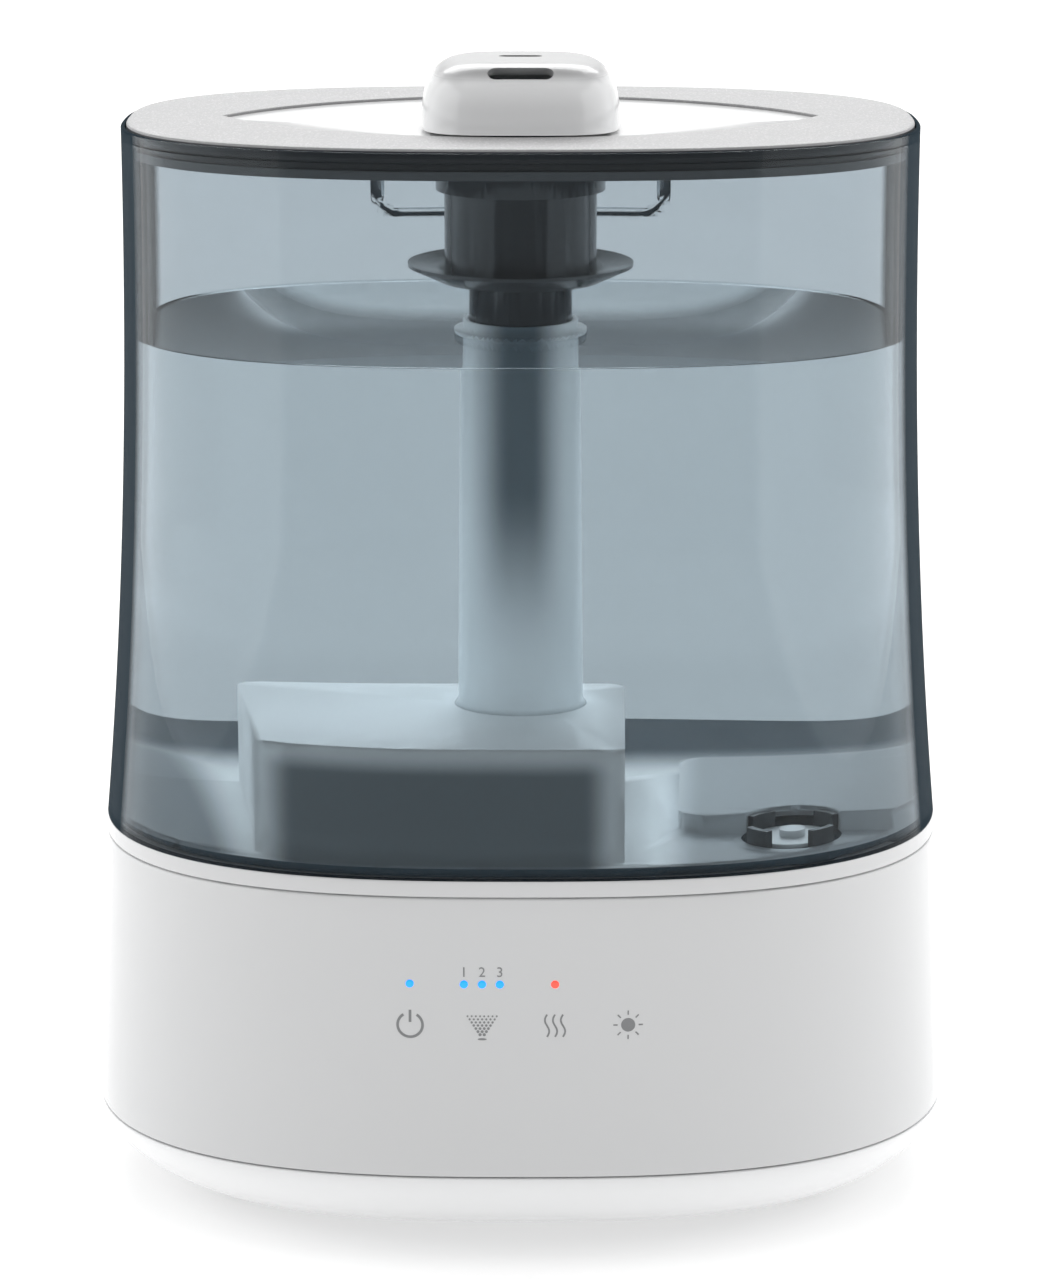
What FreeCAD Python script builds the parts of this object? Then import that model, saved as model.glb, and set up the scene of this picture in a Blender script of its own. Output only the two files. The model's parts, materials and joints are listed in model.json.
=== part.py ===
import FreeCAD, Part
import math
import os

# Warm and cool mist humidifier: a white base, a tinted tank that lifts off,
# and a lid with a turning nozzle.
# Millimetres. Origin on the floor under the middle of the base, +Z up, the control panel faces -Y.

Vec = FreeCAD.Vector

# ---- Overall size and outline ----
BODY_W = 250.0          # widest width, at the seam of the base
BODY_D = 181.0          # widest depth, at the seam of the base
OVAL_N = 2.6            # exponent of the oval outline along X
OVAL_M = 2.7            # exponent of the oval outline along Y
FOOT_PROUD = 1.2        # rubber feet below the pan
SEAM_Z = 26.5           # top of the lower pan
BASE_H = 112.0          # top of the base, where the tank stands
TANK_H = 198.0          # tank from its foot to its rim
NOZZLE_RISE = 18.0      # nozzle above the lid

# ---- Walls and clearances ----
CASE_WALL = 2.6         # base shell and pan
TANK_WALL = 3.0         # tank wall and floor
BASIN_WALL = 2.5        # basin deck, well and pocket
GROOVE_H = 0.45         # shadow grooves between the casing parts
GROOVE_D = 1.2          # how deep the shadow grooves go
SEAT_GAP = 0.1          # tank on base, lid on tank
SLIP = 0.3              # parts of different bodies side by side
FIT = 0.05              # fixed parts in their holes
BOND = 0.25             # bond line between the tank wall and its floor

# ---- Casing profile: how far each level stands inside the widest outline ----
PAN_CURVE_W = 32.0      # curve under the pan, sideways
PAN_CURVE_H = 24.5      # curve under the pan, upwards
PAN_CURVE_P = 1.5       # its exponent: 2 is a quarter round, 1 a straight chamfer
BASE_TAPER = 4.2        # at the top of the base
TANK_FLARE = 8.8        # further in at the tank's rim
FLARE_POWER = 2.2       # how early the flare happens
RIM_BAND_H = 4.5        # white band on top of the base
RIM_BAND_W = 7.0        # width of the ledge the tank stands on

# ---- Basin ----
DECK_Z = 103.0          # top of the wet deck
WELL_X = (-64.0, 20.0)  # transducer well, inside
WELL_Y = (-70.0, -16.0)
WELL_FLOOR = 84.0
WELL_R = 8.0
TRANSDUCER = (-42.0, -43.0)
TRANSDUCER_R = 10.0
TRANSDUCER_H = 1.2
TRANSDUCER_OPENING = 9.0
FLOAT_AT = (2.0, -28.0)
FLOAT_R = 8.0
FLOAT_H = 9.0
FLOAT_TRAVEL = 7.0
FLOAT_PIN_R = 2.2
HEATER_X = (-20.0, 16.0)
HEATER_Y = (-67.0, -45.0)
HEATER_T = 1.5
HEATER_EDGE = 4.0

# ---- Tank floor ----
FLOOR_FALL = 4.9        # the floor runs down towards the valve over the tank's depth
CHAMBER_X = (-73.0, 28.5)   # mist chamber, outside
CHAMBER_BACK = 9.0
CHAMBER_FRONT_GAP = 4.0     # water gap between chamber and front wall
CHAMBER_TOP = 35.0          # above the tank's foot
CHAMBER_SKIRT = 6.5         # the chamber's walls reach this far below the tank's foot
PLATFORM_X = 43.0
PLATFORM_Y = (-50.0, 21.0)
PLATFORM_TOP = 9.5          # above the tank's foot
VALVE_AT = (74.0, -54.0)
VALVE_BORE = 8.5
SPRING_WIRE = 0.7       # square wire
SPRING_R = 3.2
SPRING_TURNS = 3.0
CHANNEL_HALF = 6.0      # from the valve to the well
CHANNEL_DEPTH = 1.2
VALVE_TRAVEL = 3.0
SUMP_R = 15.0

# ---- Mist path ----
AXIS_Y = -16.0          # chimney, duct and nozzle stand on x = 0 at this y
CHIMNEY_TOP = 144.0     # above the tank's foot
CHIMNEY_R_TOP = 16.2
CHIMNEY_R_FOOT = 17.3
CHIMNEY_WALL = 1.3
CHIMNEY_RING_R = 18.7
DUCT_R = 14.5           # lower tube, slips into the chimney
DUCT_WALL = 1.3
DUCT_OVERLAP = 6.0      # how far the duct reaches into the chimney
DRIP_R = 31.7
STEM_R = 21.35
COLLAR_R = 29.5
COLLAR_STEP_R = 23.75
NOZZLE_STEM_R = 18.0

# ---- Lid ----
LID_T = 4.0
LID_PROUD = 1.0         # lid above the tank's rim
RIM_LIP = 1.3           # tank wall beside the lid
SKIRT_H = 6.0
SKIRT_T = 2.0
SKIRT_GAP = 1.5
GASKET_GAP = 0.6
LENS_HALF_L = 84.0      # eye-shaped inlay
LENS_HALF_W = 50.0
LENS_DEPTH = 2.4
LENS_SHEET = 1.6
NOZZLE_HALF = 27.5      # rounded square nozzle
NOZZLE_WALL = 2.4

# ---- Hand grip in the tank's back wall ----
GRIP_HALF = 44.0
GRIP_DROP = 14.0        # from the rim down to the grip
GRIP_H = 23.0
GRIP_HIGH = TANK_H - GRIP_DROP      # above the tank's foot
GRIP_LOW = GRIP_HIGH - GRIP_H
GRIP_DEPTH = 11.0

# ---- Inside the base ----
FAN_AT = (-46.0, 34.0)
FAN_HALF = 28.0
FAN_Z = (24.0, 48.0)
FAN_WALL = 2.0
ROTOR_R = 23.0
GRILLE_PITCH = 5.0
MOTOR_R = 12.0
BLADES = 20
DUCT_X = (-64.0, -36.0)     # air duct, outside
DUCT_Y = (-11.0, 3.0)
AIR_DUCT_TOP = 16.0         # above the tank's foot
AIR_DUCT_WALL = 1.6
BOARD_T = 1.6
POWER_BOARD = ((3.0, 76.0), (4.0, 52.0), 16.0)
CONTROL_HALF = 45.0
CONTROL_Z = (62.0, 96.0)
CONTROL_Y = -76.0
LIGHT_Z = 82.8
LIGHT_R = 1.25
BLUE_X = (-30.5, -15.6, -10.6, -5.7)
RED_X = (9.5,)
PAD_Z = 71.0
PAD_X = (-30.5, -10.6, 9.5, 29.7)
PAD_R = 6.0
SCREWS = ((-86.0, -16.0), (86.0, -16.0), (-86.0, 16.0), (86.0, 16.0), (-34.0, -56.0), (34.0, -56.0))
FEET = ((-78.0, -34.0), (78.0, -34.0), (-78.0, 34.0), (78.0, 34.0))
FOOT_R = 8.0
CORD_Z = 38.0
CORD_R = 3.4
GROMMET_R = 7.0
GROMMET_WALL = 1.6
LENS_AT = (58.0, 8.0)   # night light's window in the deck
LENS_R = 8.0

# ---- Levels worked out from the sizes above ----
TANK_TOP = BASE_H + TANK_H
LID_TOP = TANK_TOP + LID_PROUD
LID_SEAT = LID_TOP - LID_T - SEAT_GAP
BAND_Z = BASE_H - RIM_BAND_H
CHAMBER_Z = BASE_H + CHAMBER_TOP
CHIMNEY_Z = BASE_H + CHIMNEY_TOP


# ---- Outline helpers ----
def oval_wire(inset, z):
    """Closed oval, inset from the widest outline, at height z."""
    half_w = BODY_W / 2.0 - inset
    half_d = BODY_D / 2.0 - inset
    count = 48
    points = []
    for i in range(count):
        t = 2.0 * math.pi * i / count
        c = math.cos(t)
        s = math.sin(t)
        x = half_w * math.copysign(abs(c) ** (2.0 / OVAL_N), c)
        y = half_d * math.copysign(abs(s) ** (2.0 / OVAL_M), s)
        points.append(Vec(x, y, z))
    curve = Part.BSplineCurve()
    curve.interpolate(Points=points, PeriodicFlag=True)
    return Part.Wire([curve.toShape()])


def oval_prism(inset, low, high):
    """Straight-sided solid with the oval outline."""
    return Part.Face(oval_wire(inset, low)).extrude(Vec(0, 0, high - low))


def oval_ring(outer_inset, inner_inset, low, high):
    """Straight-sided oval ring."""
    return oval_prism(outer_inset, low, high).cut(oval_prism(inner_inset, low - 1.0, high + 1.0))


def oval_loft(inset_at, levels, extra=0.0):
    """Solid through ovals at the given levels, each inset by inset_at(z) + extra."""
    wires = [oval_wire(inset_at(z) + extra, z) for z in levels]
    return Part.makeLoft(wires, True, False)


def spread(low, high, count):
    """Evenly spaced levels, both ends included."""
    return [low + (high - low) * i / (count - 1) for i in range(count)]


def base_inset(z):
    """Inset of the upper base shell."""
    return BASE_TAPER * (z - SEAM_Z) / (BASE_H - SEAM_Z)


def tank_inset(z):
    """Inset of the tank wall: it flares out towards its foot."""
    u = (z - BASE_H) / TANK_H
    return BASE_TAPER + TANK_FLARE * (1.0 - max(0.0, 1.0 - u) ** FLARE_POWER)


def tank_body(low, high, extra):
    """Solid that fills the tank's profile, inset by extra."""
    return oval_loft(tank_inset, spread(low, high, 6), extra)


# ---- Primitive helpers ----
def rod(x, y, r, low, high):
    """Upright cylinder."""
    return Part.makeCylinder(r, high - low, Vec(x, y, low))


def tube(x, y, r_out, r_in, low, high):
    """Upright tube."""
    return rod(x, y, r_out, low, high).cut(rod(x, y, r_in, low - 1.0, high + 1.0))


def rod_y(x, z, r, front, back):
    """Cylinder along Y."""
    return Part.makeCylinder(r, back - front, Vec(x, front, z), Vec(0, 1, 0))


def block(xs, ys, zs):
    """Box between pairs of limits."""
    return Part.makeBox(xs[1] - xs[0], ys[1] - ys[0], zs[1] - zs[0], Vec(xs[0], ys[0], zs[0]))


def grown(pair, by):
    """Pair of limits moved outwards."""
    return (pair[0] - by, pair[1] + by)


def upright_edges(shape):
    """Edges of a box that run along Z."""
    edges = []
    for edge in shape.Edges:
        box = edge.BoundBox
        if box.XLength < 1e-6 and box.YLength < 1e-6:
            edges.append(edge)
    return edges


def round_block(xs, ys, zs, radius):
    """Box with its upright edges rounded."""
    solid = block(xs, ys, zs)
    return solid.makeFillet(radius, upright_edges(solid))


def turned(points):
    """Solid turned about the mist axis from (radius, height) points."""
    corners = [Vec(r, 0, z) for r, z in points]
    outline = Part.makePolygon(corners + [corners[0]])
    solid = Part.Face(outline).revolve(Vec(0, 0, 0), Vec(0, 0, 1), 360.0)
    solid.translate(Vec(0, AXIS_Y, 0))
    return solid


def joined(first, others):
    """Fuse and clean seams."""
    return first.fuse(others).removeSplitter()


# ---- Base: pan, shell, feet, screws, grommet ----
def pan_levels(extra):
    """Heights and insets of the pan's rounded underside."""
    low = FOOT_PROUD + extra
    steps = 6
    power = 2.0 / PAN_CURVE_P
    rows = []
    for i in range(steps + 1):
        angle = 0.5 * math.pi * i / steps
        z = low + (PAN_CURVE_H - extra) * (1.0 - math.sin(angle) ** power)
        inset = (PAN_CURVE_W - extra) * (1.0 - max(0.0, math.cos(angle)) ** power)
        rows.append((z, inset + extra))
    rows.reverse()
    return rows


def pan_solid(extra, top):
    """Pan's filled shape, inset by extra, up to a height."""
    rows = pan_levels(extra)
    bowl = Part.makeLoft([oval_wire(inset, z) for z, inset in rows], True, False)
    return bowl.fuse(oval_prism(extra, rows[-1][0], top))


def screw_posts(radius, low, high):
    """One upright cylinder per case screw."""
    return [rod(x, y, radius, low, high) for x, y in SCREWS]


def base_pan():
    """Lower casing with feet pockets, screw posts, intake grille and fan seat."""
    floor = FOOT_PROUD + CASE_WALL
    shell = pan_solid(0.0, SEAM_Z).cut(pan_solid(CASE_WALL, SEAM_Z + 5.0))
    tongue = oval_ring(GROOVE_D, CASE_WALL, SEAM_Z - 1.0, SEAM_Z + GROOVE_H)
    posts = screw_posts(4.2, floor - 0.5, SEAM_Z + 6.0)
    pads = [rod(x, y, FOOT_R + 2.0, floor - 0.5, floor + 1.4) for x, y in FEET]
    seat = tube(FAN_AT[0], FAN_AT[1], ROTOR_R + 2.0, ROTOR_R, floor - 0.5, FAN_Z[0])
    pan = shell.fuse([tongue] + posts + pads + [seat] + board_posts())
    cuts = [rod(x, y, FOOT_R, 0.0, floor) for x, y in FEET]
    cuts.append(rod(FAN_AT[0], FAN_AT[1], ROTOR_R, floor, FAN_Z[0]))
    cuts += screw_posts(3.4, 0.0, FOOT_PROUD + 6.0)
    cuts += screw_posts(1.8, 0.0, SEAM_Z + 10.0)
    for i in range(-3, 4):
        across = GRILLE_PITCH * i
        half = math.sqrt((ROTOR_R - 3.0) ** 2 - across ** 2)
        xs = grown((FAN_AT[0] + across, FAN_AT[0] + across), 1.3)
        cuts.append(block(xs, (FAN_AT[1] - half, FAN_AT[1] + half), (0.0, floor + 1.0)))
    return pan.cut(cuts).removeSplitter()


def board_posts():
    """Standoffs under the power board."""
    xs, ys, z = POWER_BOARD
    floor = FOOT_PROUD + CASE_WALL
    posts = []
    for x in (xs[0] + 5.0, xs[1] - 5.0):
        for y in (ys[0] + 5.0, ys[1] - 5.0):
            posts.append(rod(x, y, 3.0, floor - 0.5, z))
    return posts


def base_shell():
    """Upper casing: tapered oval wall with screw bosses, panel holes and cord boss."""
    low = SEAM_Z + GROOVE_H
    high = BAND_Z - GROOVE_H
    outer = oval_loft(base_inset, spread(low, high, 4))
    inner = oval_loft(base_inset, spread(low - 2.0, high + 2.0, 4), CASE_WALL)
    top_tongue = oval_ring(base_inset(high) + GROOVE_D, base_inset(high) + CASE_WALL, high - 1.0, BAND_Z)
    bosses = screw_posts(4.2, SEAM_Z + 6.0, SEAM_Z + 30.0)
    webs = []
    for x, y in SCREWS:
        if abs(x) > abs(y):
            wall_x = math.copysign(BODY_W / 2.0, x)
            webs.append(block((min(x, wall_x), max(x, wall_x)),
                              (y - 1.0, y + 1.0), (SEAM_Z + 8.0, SEAM_Z + 30.0)))
        else:
            webs.append(block((x - 1.0, x + 1.0), (-BODY_D / 2.0, y), (SEAM_Z + 8.0, SEAM_Z + 30.0)))
    standoffs = []
    for x in (-CONTROL_HALF + 6.0, CONTROL_HALF - 6.0):
        for z in (CONTROL_Z[0] + 5.0, CONTROL_Z[1] - 5.0):
            standoffs.append(rod_y(x, z, 2.6, -BODY_D / 2.0, CONTROL_Y))
    cord_boss = rod_y(0.0, CORD_Z, 10.0, BODY_D / 2.0 - 9.0, BODY_D / 2.0)
    inside = outer.common(joined(bosses[0], bosses[1:] + webs + standoffs + [cord_boss]))
    shell = outer.cut(inner).fuse([top_tongue, inside])
    cuts = screw_posts(1.4, SEAM_Z + 5.0, SEAM_Z + 26.0)
    cuts += [rod_y(x, LIGHT_Z, LIGHT_R + FIT, -BODY_D, CONTROL_Y) for x in BLUE_X + RED_X]
    cuts.append(rod_y(0.0, CORD_Z, CORD_R + GROMMET_WALL, 0.0, BODY_D))
    cuts.append(rod_y(0.0, CORD_Z, GROMMET_R + SLIP, BODY_D / 2.0 - 3.0, BODY_D))
    return shell.cut(cuts).removeSplitter()


def feet():
    """Rubber feet in their pockets."""
    return Part.makeCompound([rod(x, y, FOOT_R - FIT, 0.0, FOOT_PROUD + CASE_WALL) for x, y in FEET])


def case_screws():
    """Screws from below through the pan's posts into the shell's bosses."""
    seat = FOOT_PROUD + 6.0
    screws = []
    for x, y in SCREWS:
        head = rod(x, y, 3.1, seat - 2.4, seat)
        shank = rod(x, y, 1.35, seat, SEAM_Z + 20.0)
        recess = block((x - 1.4, x + 1.4), (y - 0.4, y + 0.4), (seat - 3.0, seat - 1.4))
        cross = block((x - 0.4, x + 0.4), (y - 1.4, y + 1.4), (seat - 3.0, seat - 1.4))
        screws.append(head.fuse(shank).cut([recess, cross]).removeSplitter())
    return Part.makeCompound(screws)


def cord_grommet():
    """Rubber bush of the cord inlet, with its bore."""
    back = BODY_D / 2.0
    flange = rod_y(0.0, CORD_Z, GROMMET_R, back - 3.0, back - 1.2)
    sleeve = rod_y(0.0, CORD_Z, CORD_R + GROMMET_WALL - FIT, back - 11.0, back - 3.0)
    collar = rod_y(0.0, CORD_Z, 6.4, back - 11.0, back - 9.0)
    return flange.fuse([sleeve, collar]).cut(rod_y(0.0, CORD_Z, CORD_R, 0.0, BODY_D)).removeSplitter()


# ---- Base: basin and what stands in it ----
def basin():
    """Wet deck with its rim band, transducer well, valve pocket and guide pins."""
    edge = base_inset(BAND_Z - GROOVE_H) + CASE_WALL + SLIP
    inner = BASE_TAPER + RIM_BAND_W
    under = DECK_Z - BASIN_WALL
    solid = oval_prism(BASE_TAPER, BAND_Z, BASE_H).fuse(oval_prism(edge, under, BAND_Z))
    solid = solid.cut(oval_prism(inner, DECK_Z, BASE_H + 1.0))
    well_z = (WELL_FLOOR - BASIN_WALL, DECK_Z)
    well = round_block(grown(WELL_X, BASIN_WALL), grown(WELL_Y, BASIN_WALL), well_z, WELL_R + BASIN_WALL)
    pocket = rod(VALVE_AT[0], VALVE_AT[1], SUMP_R + BASIN_WALL, DECK_Z - 10.0, DECK_Z)
    bosses = [rod(x, y, 3.0, WELL_FLOOR - BASIN_WALL - 3.0, WELL_FLOOR - 1.0) for x, y in holder_holes()]
    solid = solid.fuse([well, pocket] + bosses)
    cuts = [round_block(WELL_X, WELL_Y, (WELL_FLOOR, BASE_H), WELL_R)]
    cuts.append(rod(VALVE_AT[0], VALVE_AT[1], SUMP_R, DECK_Z - 10.0 + BASIN_WALL, BASE_H))
    channel_y = (VALVE_AT[1] - CHANNEL_HALF, VALVE_AT[1] + CHANNEL_HALF)
    cuts.append(block((WELL_X[1] - 2.0, VALVE_AT[0]), channel_y, (DECK_Z - CHANNEL_DEPTH, BASE_H)))
    cuts.append(rod(TRANSDUCER[0], TRANSDUCER[1], TRANSDUCER_OPENING, 0.0, BASE_H))
    cuts.append(block(grown(HEATER_X, -HEATER_EDGE), grown(HEATER_Y, -HEATER_EDGE), (0.0, BASE_H)))
    cuts.append(block(grown(DUCT_X, FIT), grown(DUCT_Y, FIT), (0.0, BASE_H)))
    cuts.append(rod(LENS_AT[0], LENS_AT[1], LENS_R + FIT, 0.0, BASE_H))
    cuts += [rod(x, y, 1.35, 0.0, WELL_FLOOR - 1.5) for x, y in holder_holes()]
    solid = solid.cut(cuts)
    pin = rod(FLOAT_AT[0], FLOAT_AT[1], FLOAT_PIN_R, WELL_FLOOR - 1.0, float_cap_z())
    post = rod(VALVE_AT[0], VALVE_AT[1], 3.0, DECK_Z - 10.0 + 1.0, valve_collar_z() - SLIP)
    return joined(solid, [pin, post])


def holder_holes():
    """Screw places round the transducer."""
    places = []
    for i in range(3):
        angle = math.radians(90.0 + 120.0 * i)
        places.append((TRANSDUCER[0] + 18.5 * math.cos(angle), TRANSDUCER[1] + 18.5 * math.sin(angle)))
    return places


def float_cap_z():
    """Underside of the cap that stops the float."""
    return WELL_FLOOR + SLIP + FLOAT_H + FLOAT_TRAVEL + SLIP


def valve_collar_z():
    """Underside of the valve stem's collar."""
    return DECK_Z - 3.0


def transducer_disc():
    """Piezo disc held in its seal."""
    low = WELL_FLOOR - BASIN_WALL - 2.2
    return rod(TRANSDUCER[0], TRANSDUCER[1], TRANSDUCER_R, low, low + TRANSDUCER_H)


def transducer_seal():
    """Rubber ring with an inner groove that grips the disc."""
    low = WELL_FLOOR - BASIN_WALL
    ring = tube(TRANSDUCER[0], TRANSDUCER[1], TRANSDUCER_R + 2.5, TRANSDUCER_R - 1.8, low - 3.0, low)
    groove_low = low - 2.2 - FIT
    groove_high = groove_low + TRANSDUCER_H + 2.0 * FIT
    groove = rod(TRANSDUCER[0], TRANSDUCER[1], TRANSDUCER_R + FIT, groove_low, groove_high)
    return ring.cut(groove)


def transducer_holder():
    """Plate and ring that press the seal against the well."""
    top = WELL_FLOOR - BASIN_WALL
    x, y = TRANSDUCER
    plate = tube(x, y, 22.0, TRANSDUCER_R - 3.0, top - 6.0, top - 3.0)
    ring = tube(x, y, TRANSDUCER_R + 5.0, TRANSDUCER_R + 2.6, top - 3.0, top)
    holes = [rod(px, py, 1.5, 0.0, top) for px, py in holder_holes()]
    return joined(plate, [ring]).cut(holes)


def holder_screws():
    """Screws of the transducer holder."""
    seat = WELL_FLOOR - BASIN_WALL - 6.0
    screws = []
    for x, y in holder_holes():
        head = rod(x, y, 2.6, seat - 2.0, seat)
        shank = rod(x, y, 1.3, seat, WELL_FLOOR - 2.0)
        slot = block((x - 1.8, x + 1.8), (y - 0.4, y + 0.4), (seat - 3.0, seat - 1.2))
        screws.append(head.fuse(shank).cut(slot).removeSplitter())
    return Part.makeCompound(screws)


def heater_plate():
    """Metal plate in the well that warms the water."""
    plate = round_block(HEATER_X, HEATER_Y, (WELL_FLOOR, WELL_FLOOR + HEATER_T), 3.0)
    return plate.makeFillet(0.5, plate.Faces[plate_top(plate)].Edges)


def plate_top(solid):
    """Index of the highest flat face."""
    heights = [face.CenterOfMass.z for face in solid.Faces]
    return heights.index(max(heights))


def heater_element():
    """Heating block that stands in the window under the plate."""
    xs = grown(HEATER_X, -HEATER_EDGE - 0.5)
    ys = grown(HEATER_Y, -HEATER_EDGE - 0.5)
    return block(xs, ys, (WELL_FLOOR - 7.0, WELL_FLOOR))


def level_sensor():
    """Reed switch board under the float."""
    x, y = FLOAT_AT
    top = WELL_FLOOR - BASIN_WALL
    board = block((x - 8.0, x + 8.0), (y - 6.0, y + 6.0), (top - BOARD_T, top))
    reed = rod_y(x, top - BOARD_T - 1.2, 1.3, y - 5.0, y + 5.0)
    return joined(board, [reed])


def float_body():
    """Float that rides on its pin and carries a magnet."""
    x, y = FLOAT_AT
    low = WELL_FLOOR + SLIP
    ring = tube(x, y, FLOAT_R, FLOAT_PIN_R + 0.4, low, low + FLOAT_H)
    return ring.cut(tube(x, y, 6.0, 3.7, low - 1.0, low + 3.0))


def float_magnet():
    """Ring magnet in the float's underside."""
    x, y = FLOAT_AT
    low = WELL_FLOOR + SLIP
    return tube(x, y, 6.0 - FIT, 3.7 + FIT, low + 0.2, low + 3.0)


def float_cap():
    """Push-on cap of the float's pin."""
    x, y = FLOAT_AT
    low = float_cap_z()
    return rod(x, y, 4.6, low, low + 1.8)


def night_light_lens():
    """Lens in the deck that lets the night light into the tank."""
    disc = rod(LENS_AT[0], LENS_AT[1], LENS_R, DECK_Z - BASIN_WALL - 1.0, DECK_Z + 1.5)
    return disc.makeFillet(0.8, [disc.Edges[0]])


# ---- Base: air path ----
def fan_housing():
    """Blower housing with its intake, rotor space and upward outlet."""
    cx, cy = FAN_AT
    xs = (cx - FAN_HALF, cx + FAN_HALF)
    ys = (cy - FAN_HALF, cy + FAN_HALF)
    body = round_block(xs, ys, FAN_Z, 8.0)
    outlet = block(DUCT_X, (DUCT_Y[0], cy), FAN_Z)
    zs = grown(FAN_Z, -FAN_WALL)
    hollow = rod(cx, cy, ROTOR_R + 3.0, zs[0], zs[1])
    channel = block(grown(DUCT_X, -AIR_DUCT_WALL), (DUCT_Y[0] + AIR_DUCT_WALL, cy), zs)
    mouth = block(grown(DUCT_X, -AIR_DUCT_WALL), grown(DUCT_Y, -AIR_DUCT_WALL), (zs[0], FAN_Z[1] + 1.0))
    intake = rod(cx, cy, ROTOR_R - 6.0, 0.0, FAN_Z[0] + FAN_WALL + 1.0)
    return joined(body, [outlet]).cut([hollow, channel, mouth, intake]).removeSplitter()


def fan_motor():
    """Motor under the housing's top plate."""
    low = FAN_Z[0] + 8.0
    return rod(FAN_AT[0], FAN_AT[1], MOTOR_R, low, FAN_Z[1] - FAN_WALL)


def fan_rotor():
    """Centrifugal rotor: cup over the motor, back plate and blades."""
    cx, cy = FAN_AT
    low = FAN_Z[0] + 5.0
    plate_z = FAN_Z[1] - FAN_WALL - 1.4
    cup = rod(cx, cy, MOTOR_R + 2.0, low + 1.0, plate_z)
    cup = cup.cut(rod(cx, cy, MOTOR_R + 0.5, low + 2.5, plate_z + 1.0))
    plate = tube(cx, cy, ROTOR_R, MOTOR_R + 1.5, plate_z - 1.6, plate_z)
    blades = []
    for i in range(BLADES):
        blade = block((cx + 16.0, cx + ROTOR_R), (cy - 0.5, cy + 0.5), (low, plate_z - 1.0))
        blade.rotate(Vec(cx + 16.0, cy, 0), Vec(0, 0, 1), 28.0)
        blade = blade.common(rod(cx, cy, ROTOR_R, low, plate_z))
        blade.rotate(Vec(cx, cy, 0), Vec(0, 0, 1), 360.0 * i / BLADES)
        blades.append(blade)
    return joined(cup, [plate] + blades)


def air_duct():
    """Rectangular duct from the blower up through the deck."""
    low = FAN_Z[1]
    high = BASE_H + AIR_DUCT_TOP
    outer = block(DUCT_X, DUCT_Y, (low, high))
    inner = block(grown(DUCT_X, -AIR_DUCT_WALL), grown(DUCT_Y, -AIR_DUCT_WALL), (low - 1.0, high + 1.0))
    collar_z = DECK_Z - BASIN_WALL
    collar = block(grown(DUCT_X, 1.8), grown(DUCT_Y, 1.8), (collar_z - 2.0, collar_z))
    return joined(outer, [collar]).cut(inner)


def air_filter():
    """Foam pad over the intake grille."""
    floor = FOOT_PROUD + CASE_WALL
    return rod(FAN_AT[0], FAN_AT[1], ROTOR_R - 1.2, floor, floor + 5.0)


# ---- Base: electronics ----
def power_board():
    """Circuit board on the pan's standoffs."""
    xs, ys, z = POWER_BOARD
    return block(xs, ys, (z, z + BOARD_T))


def board_parts():
    """Transformer, capacitors and heat sink of the power board."""
    xs, ys, z = POWER_BOARD
    low = z + BOARD_T
    parts = [block((xs[0] + 8.0, xs[0] + 36.0), (ys[0] + 10.0, ys[0] + 34.0), (low, low + 22.0))]
    parts += [rod(xs[0] + 48.0 + 13.0 * i, ys[0] + 14.0, 5.0, low, low + 18.0) for i in range(2)]
    fin_base = block((xs[0] + 44.0, xs[0] + 72.0), (ys[0] + 28.0, ys[0] + 31.0), (low, low + 24.0))
    fins = []
    for i in range(5):
        x = xs[0] + 44.0 + 6.5 * i
        fins.append(block((x, x + 2.0), (ys[0] + 31.0, ys[0] + 40.0), (low, low + 24.0)))
    parts.append(joined(fin_base, fins))
    return Part.makeCompound(parts)


def control_board():
    """Touch and light board behind the panel."""
    return block((-CONTROL_HALF, CONTROL_HALF), (CONTROL_Y, CONTROL_Y + BOARD_T), CONTROL_Z)


def light_pipes(places):
    """Light pipes from the board to the panel's face."""
    face = oval_loft(base_inset, spread(SEAM_Z + GROOVE_H, BAND_Z - GROOVE_H, 4))
    pipes = [rod_y(x, LIGHT_Z, LIGHT_R, -BODY_D, CONTROL_Y).common(face) for x in places]
    return Part.makeCompound(pipes)


def lights_blue():
    """Power and mist level lights."""
    return light_pipes(BLUE_X)


def light_red():
    """Warm mist light."""
    return light_pipes(RED_X)


def touch_pads():
    """Conductive pads between the board and the panel's inner face."""
    inner = oval_loft(base_inset, spread(SEAM_Z + GROOVE_H, BAND_Z - GROOVE_H, 4), CASE_WALL + BOND)
    pads = [rod_y(x, PAD_Z, PAD_R, -BODY_D, CONTROL_Y).common(inner) for x in PAD_X]
    return Part.makeCompound(pads)


# ---- Tank ----
def grip_block(extra, front_extra):
    """Rounded block of the hand grip, grown by extra."""
    back_in = BODY_D / 2.0 - tank_inset(BASE_H + GRIP_HIGH)
    zs = (BASE_H + GRIP_LOW - extra, BASE_H + GRIP_HIGH + extra)
    solid = block((-GRIP_HALF - extra, GRIP_HALF + extra), (back_in - GRIP_DEPTH - front_extra, BODY_D), zs)
    along = [e for e in solid.Edges if e.BoundBox.XLength < 1e-6 and e.BoundBox.ZLength < 1e-6]
    return solid.makeFillet(8.0 + extra, along)


def tank_shell():
    """Tinted wall, open above and below, with a rebate for the lid and a hand grip at the back."""
    low = BASE_H + SEAT_GAP
    outer = tank_body(low, TANK_TOP, 0.0)
    inner = tank_body(low - 3.0, TANK_TOP + 3.0, TANK_WALL)
    wall = outer.cut(inner)
    grip = outer.common(grip_block(TANK_WALL, TANK_WALL))
    wall = wall.fuse(grip)
    rebate = oval_prism(tank_inset(TANK_TOP) + RIM_LIP, LID_SEAT, TANK_TOP + 5.0)
    return wall.cut([grip_block(0.0, 0.0), rebate]).removeSplitter()


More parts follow.
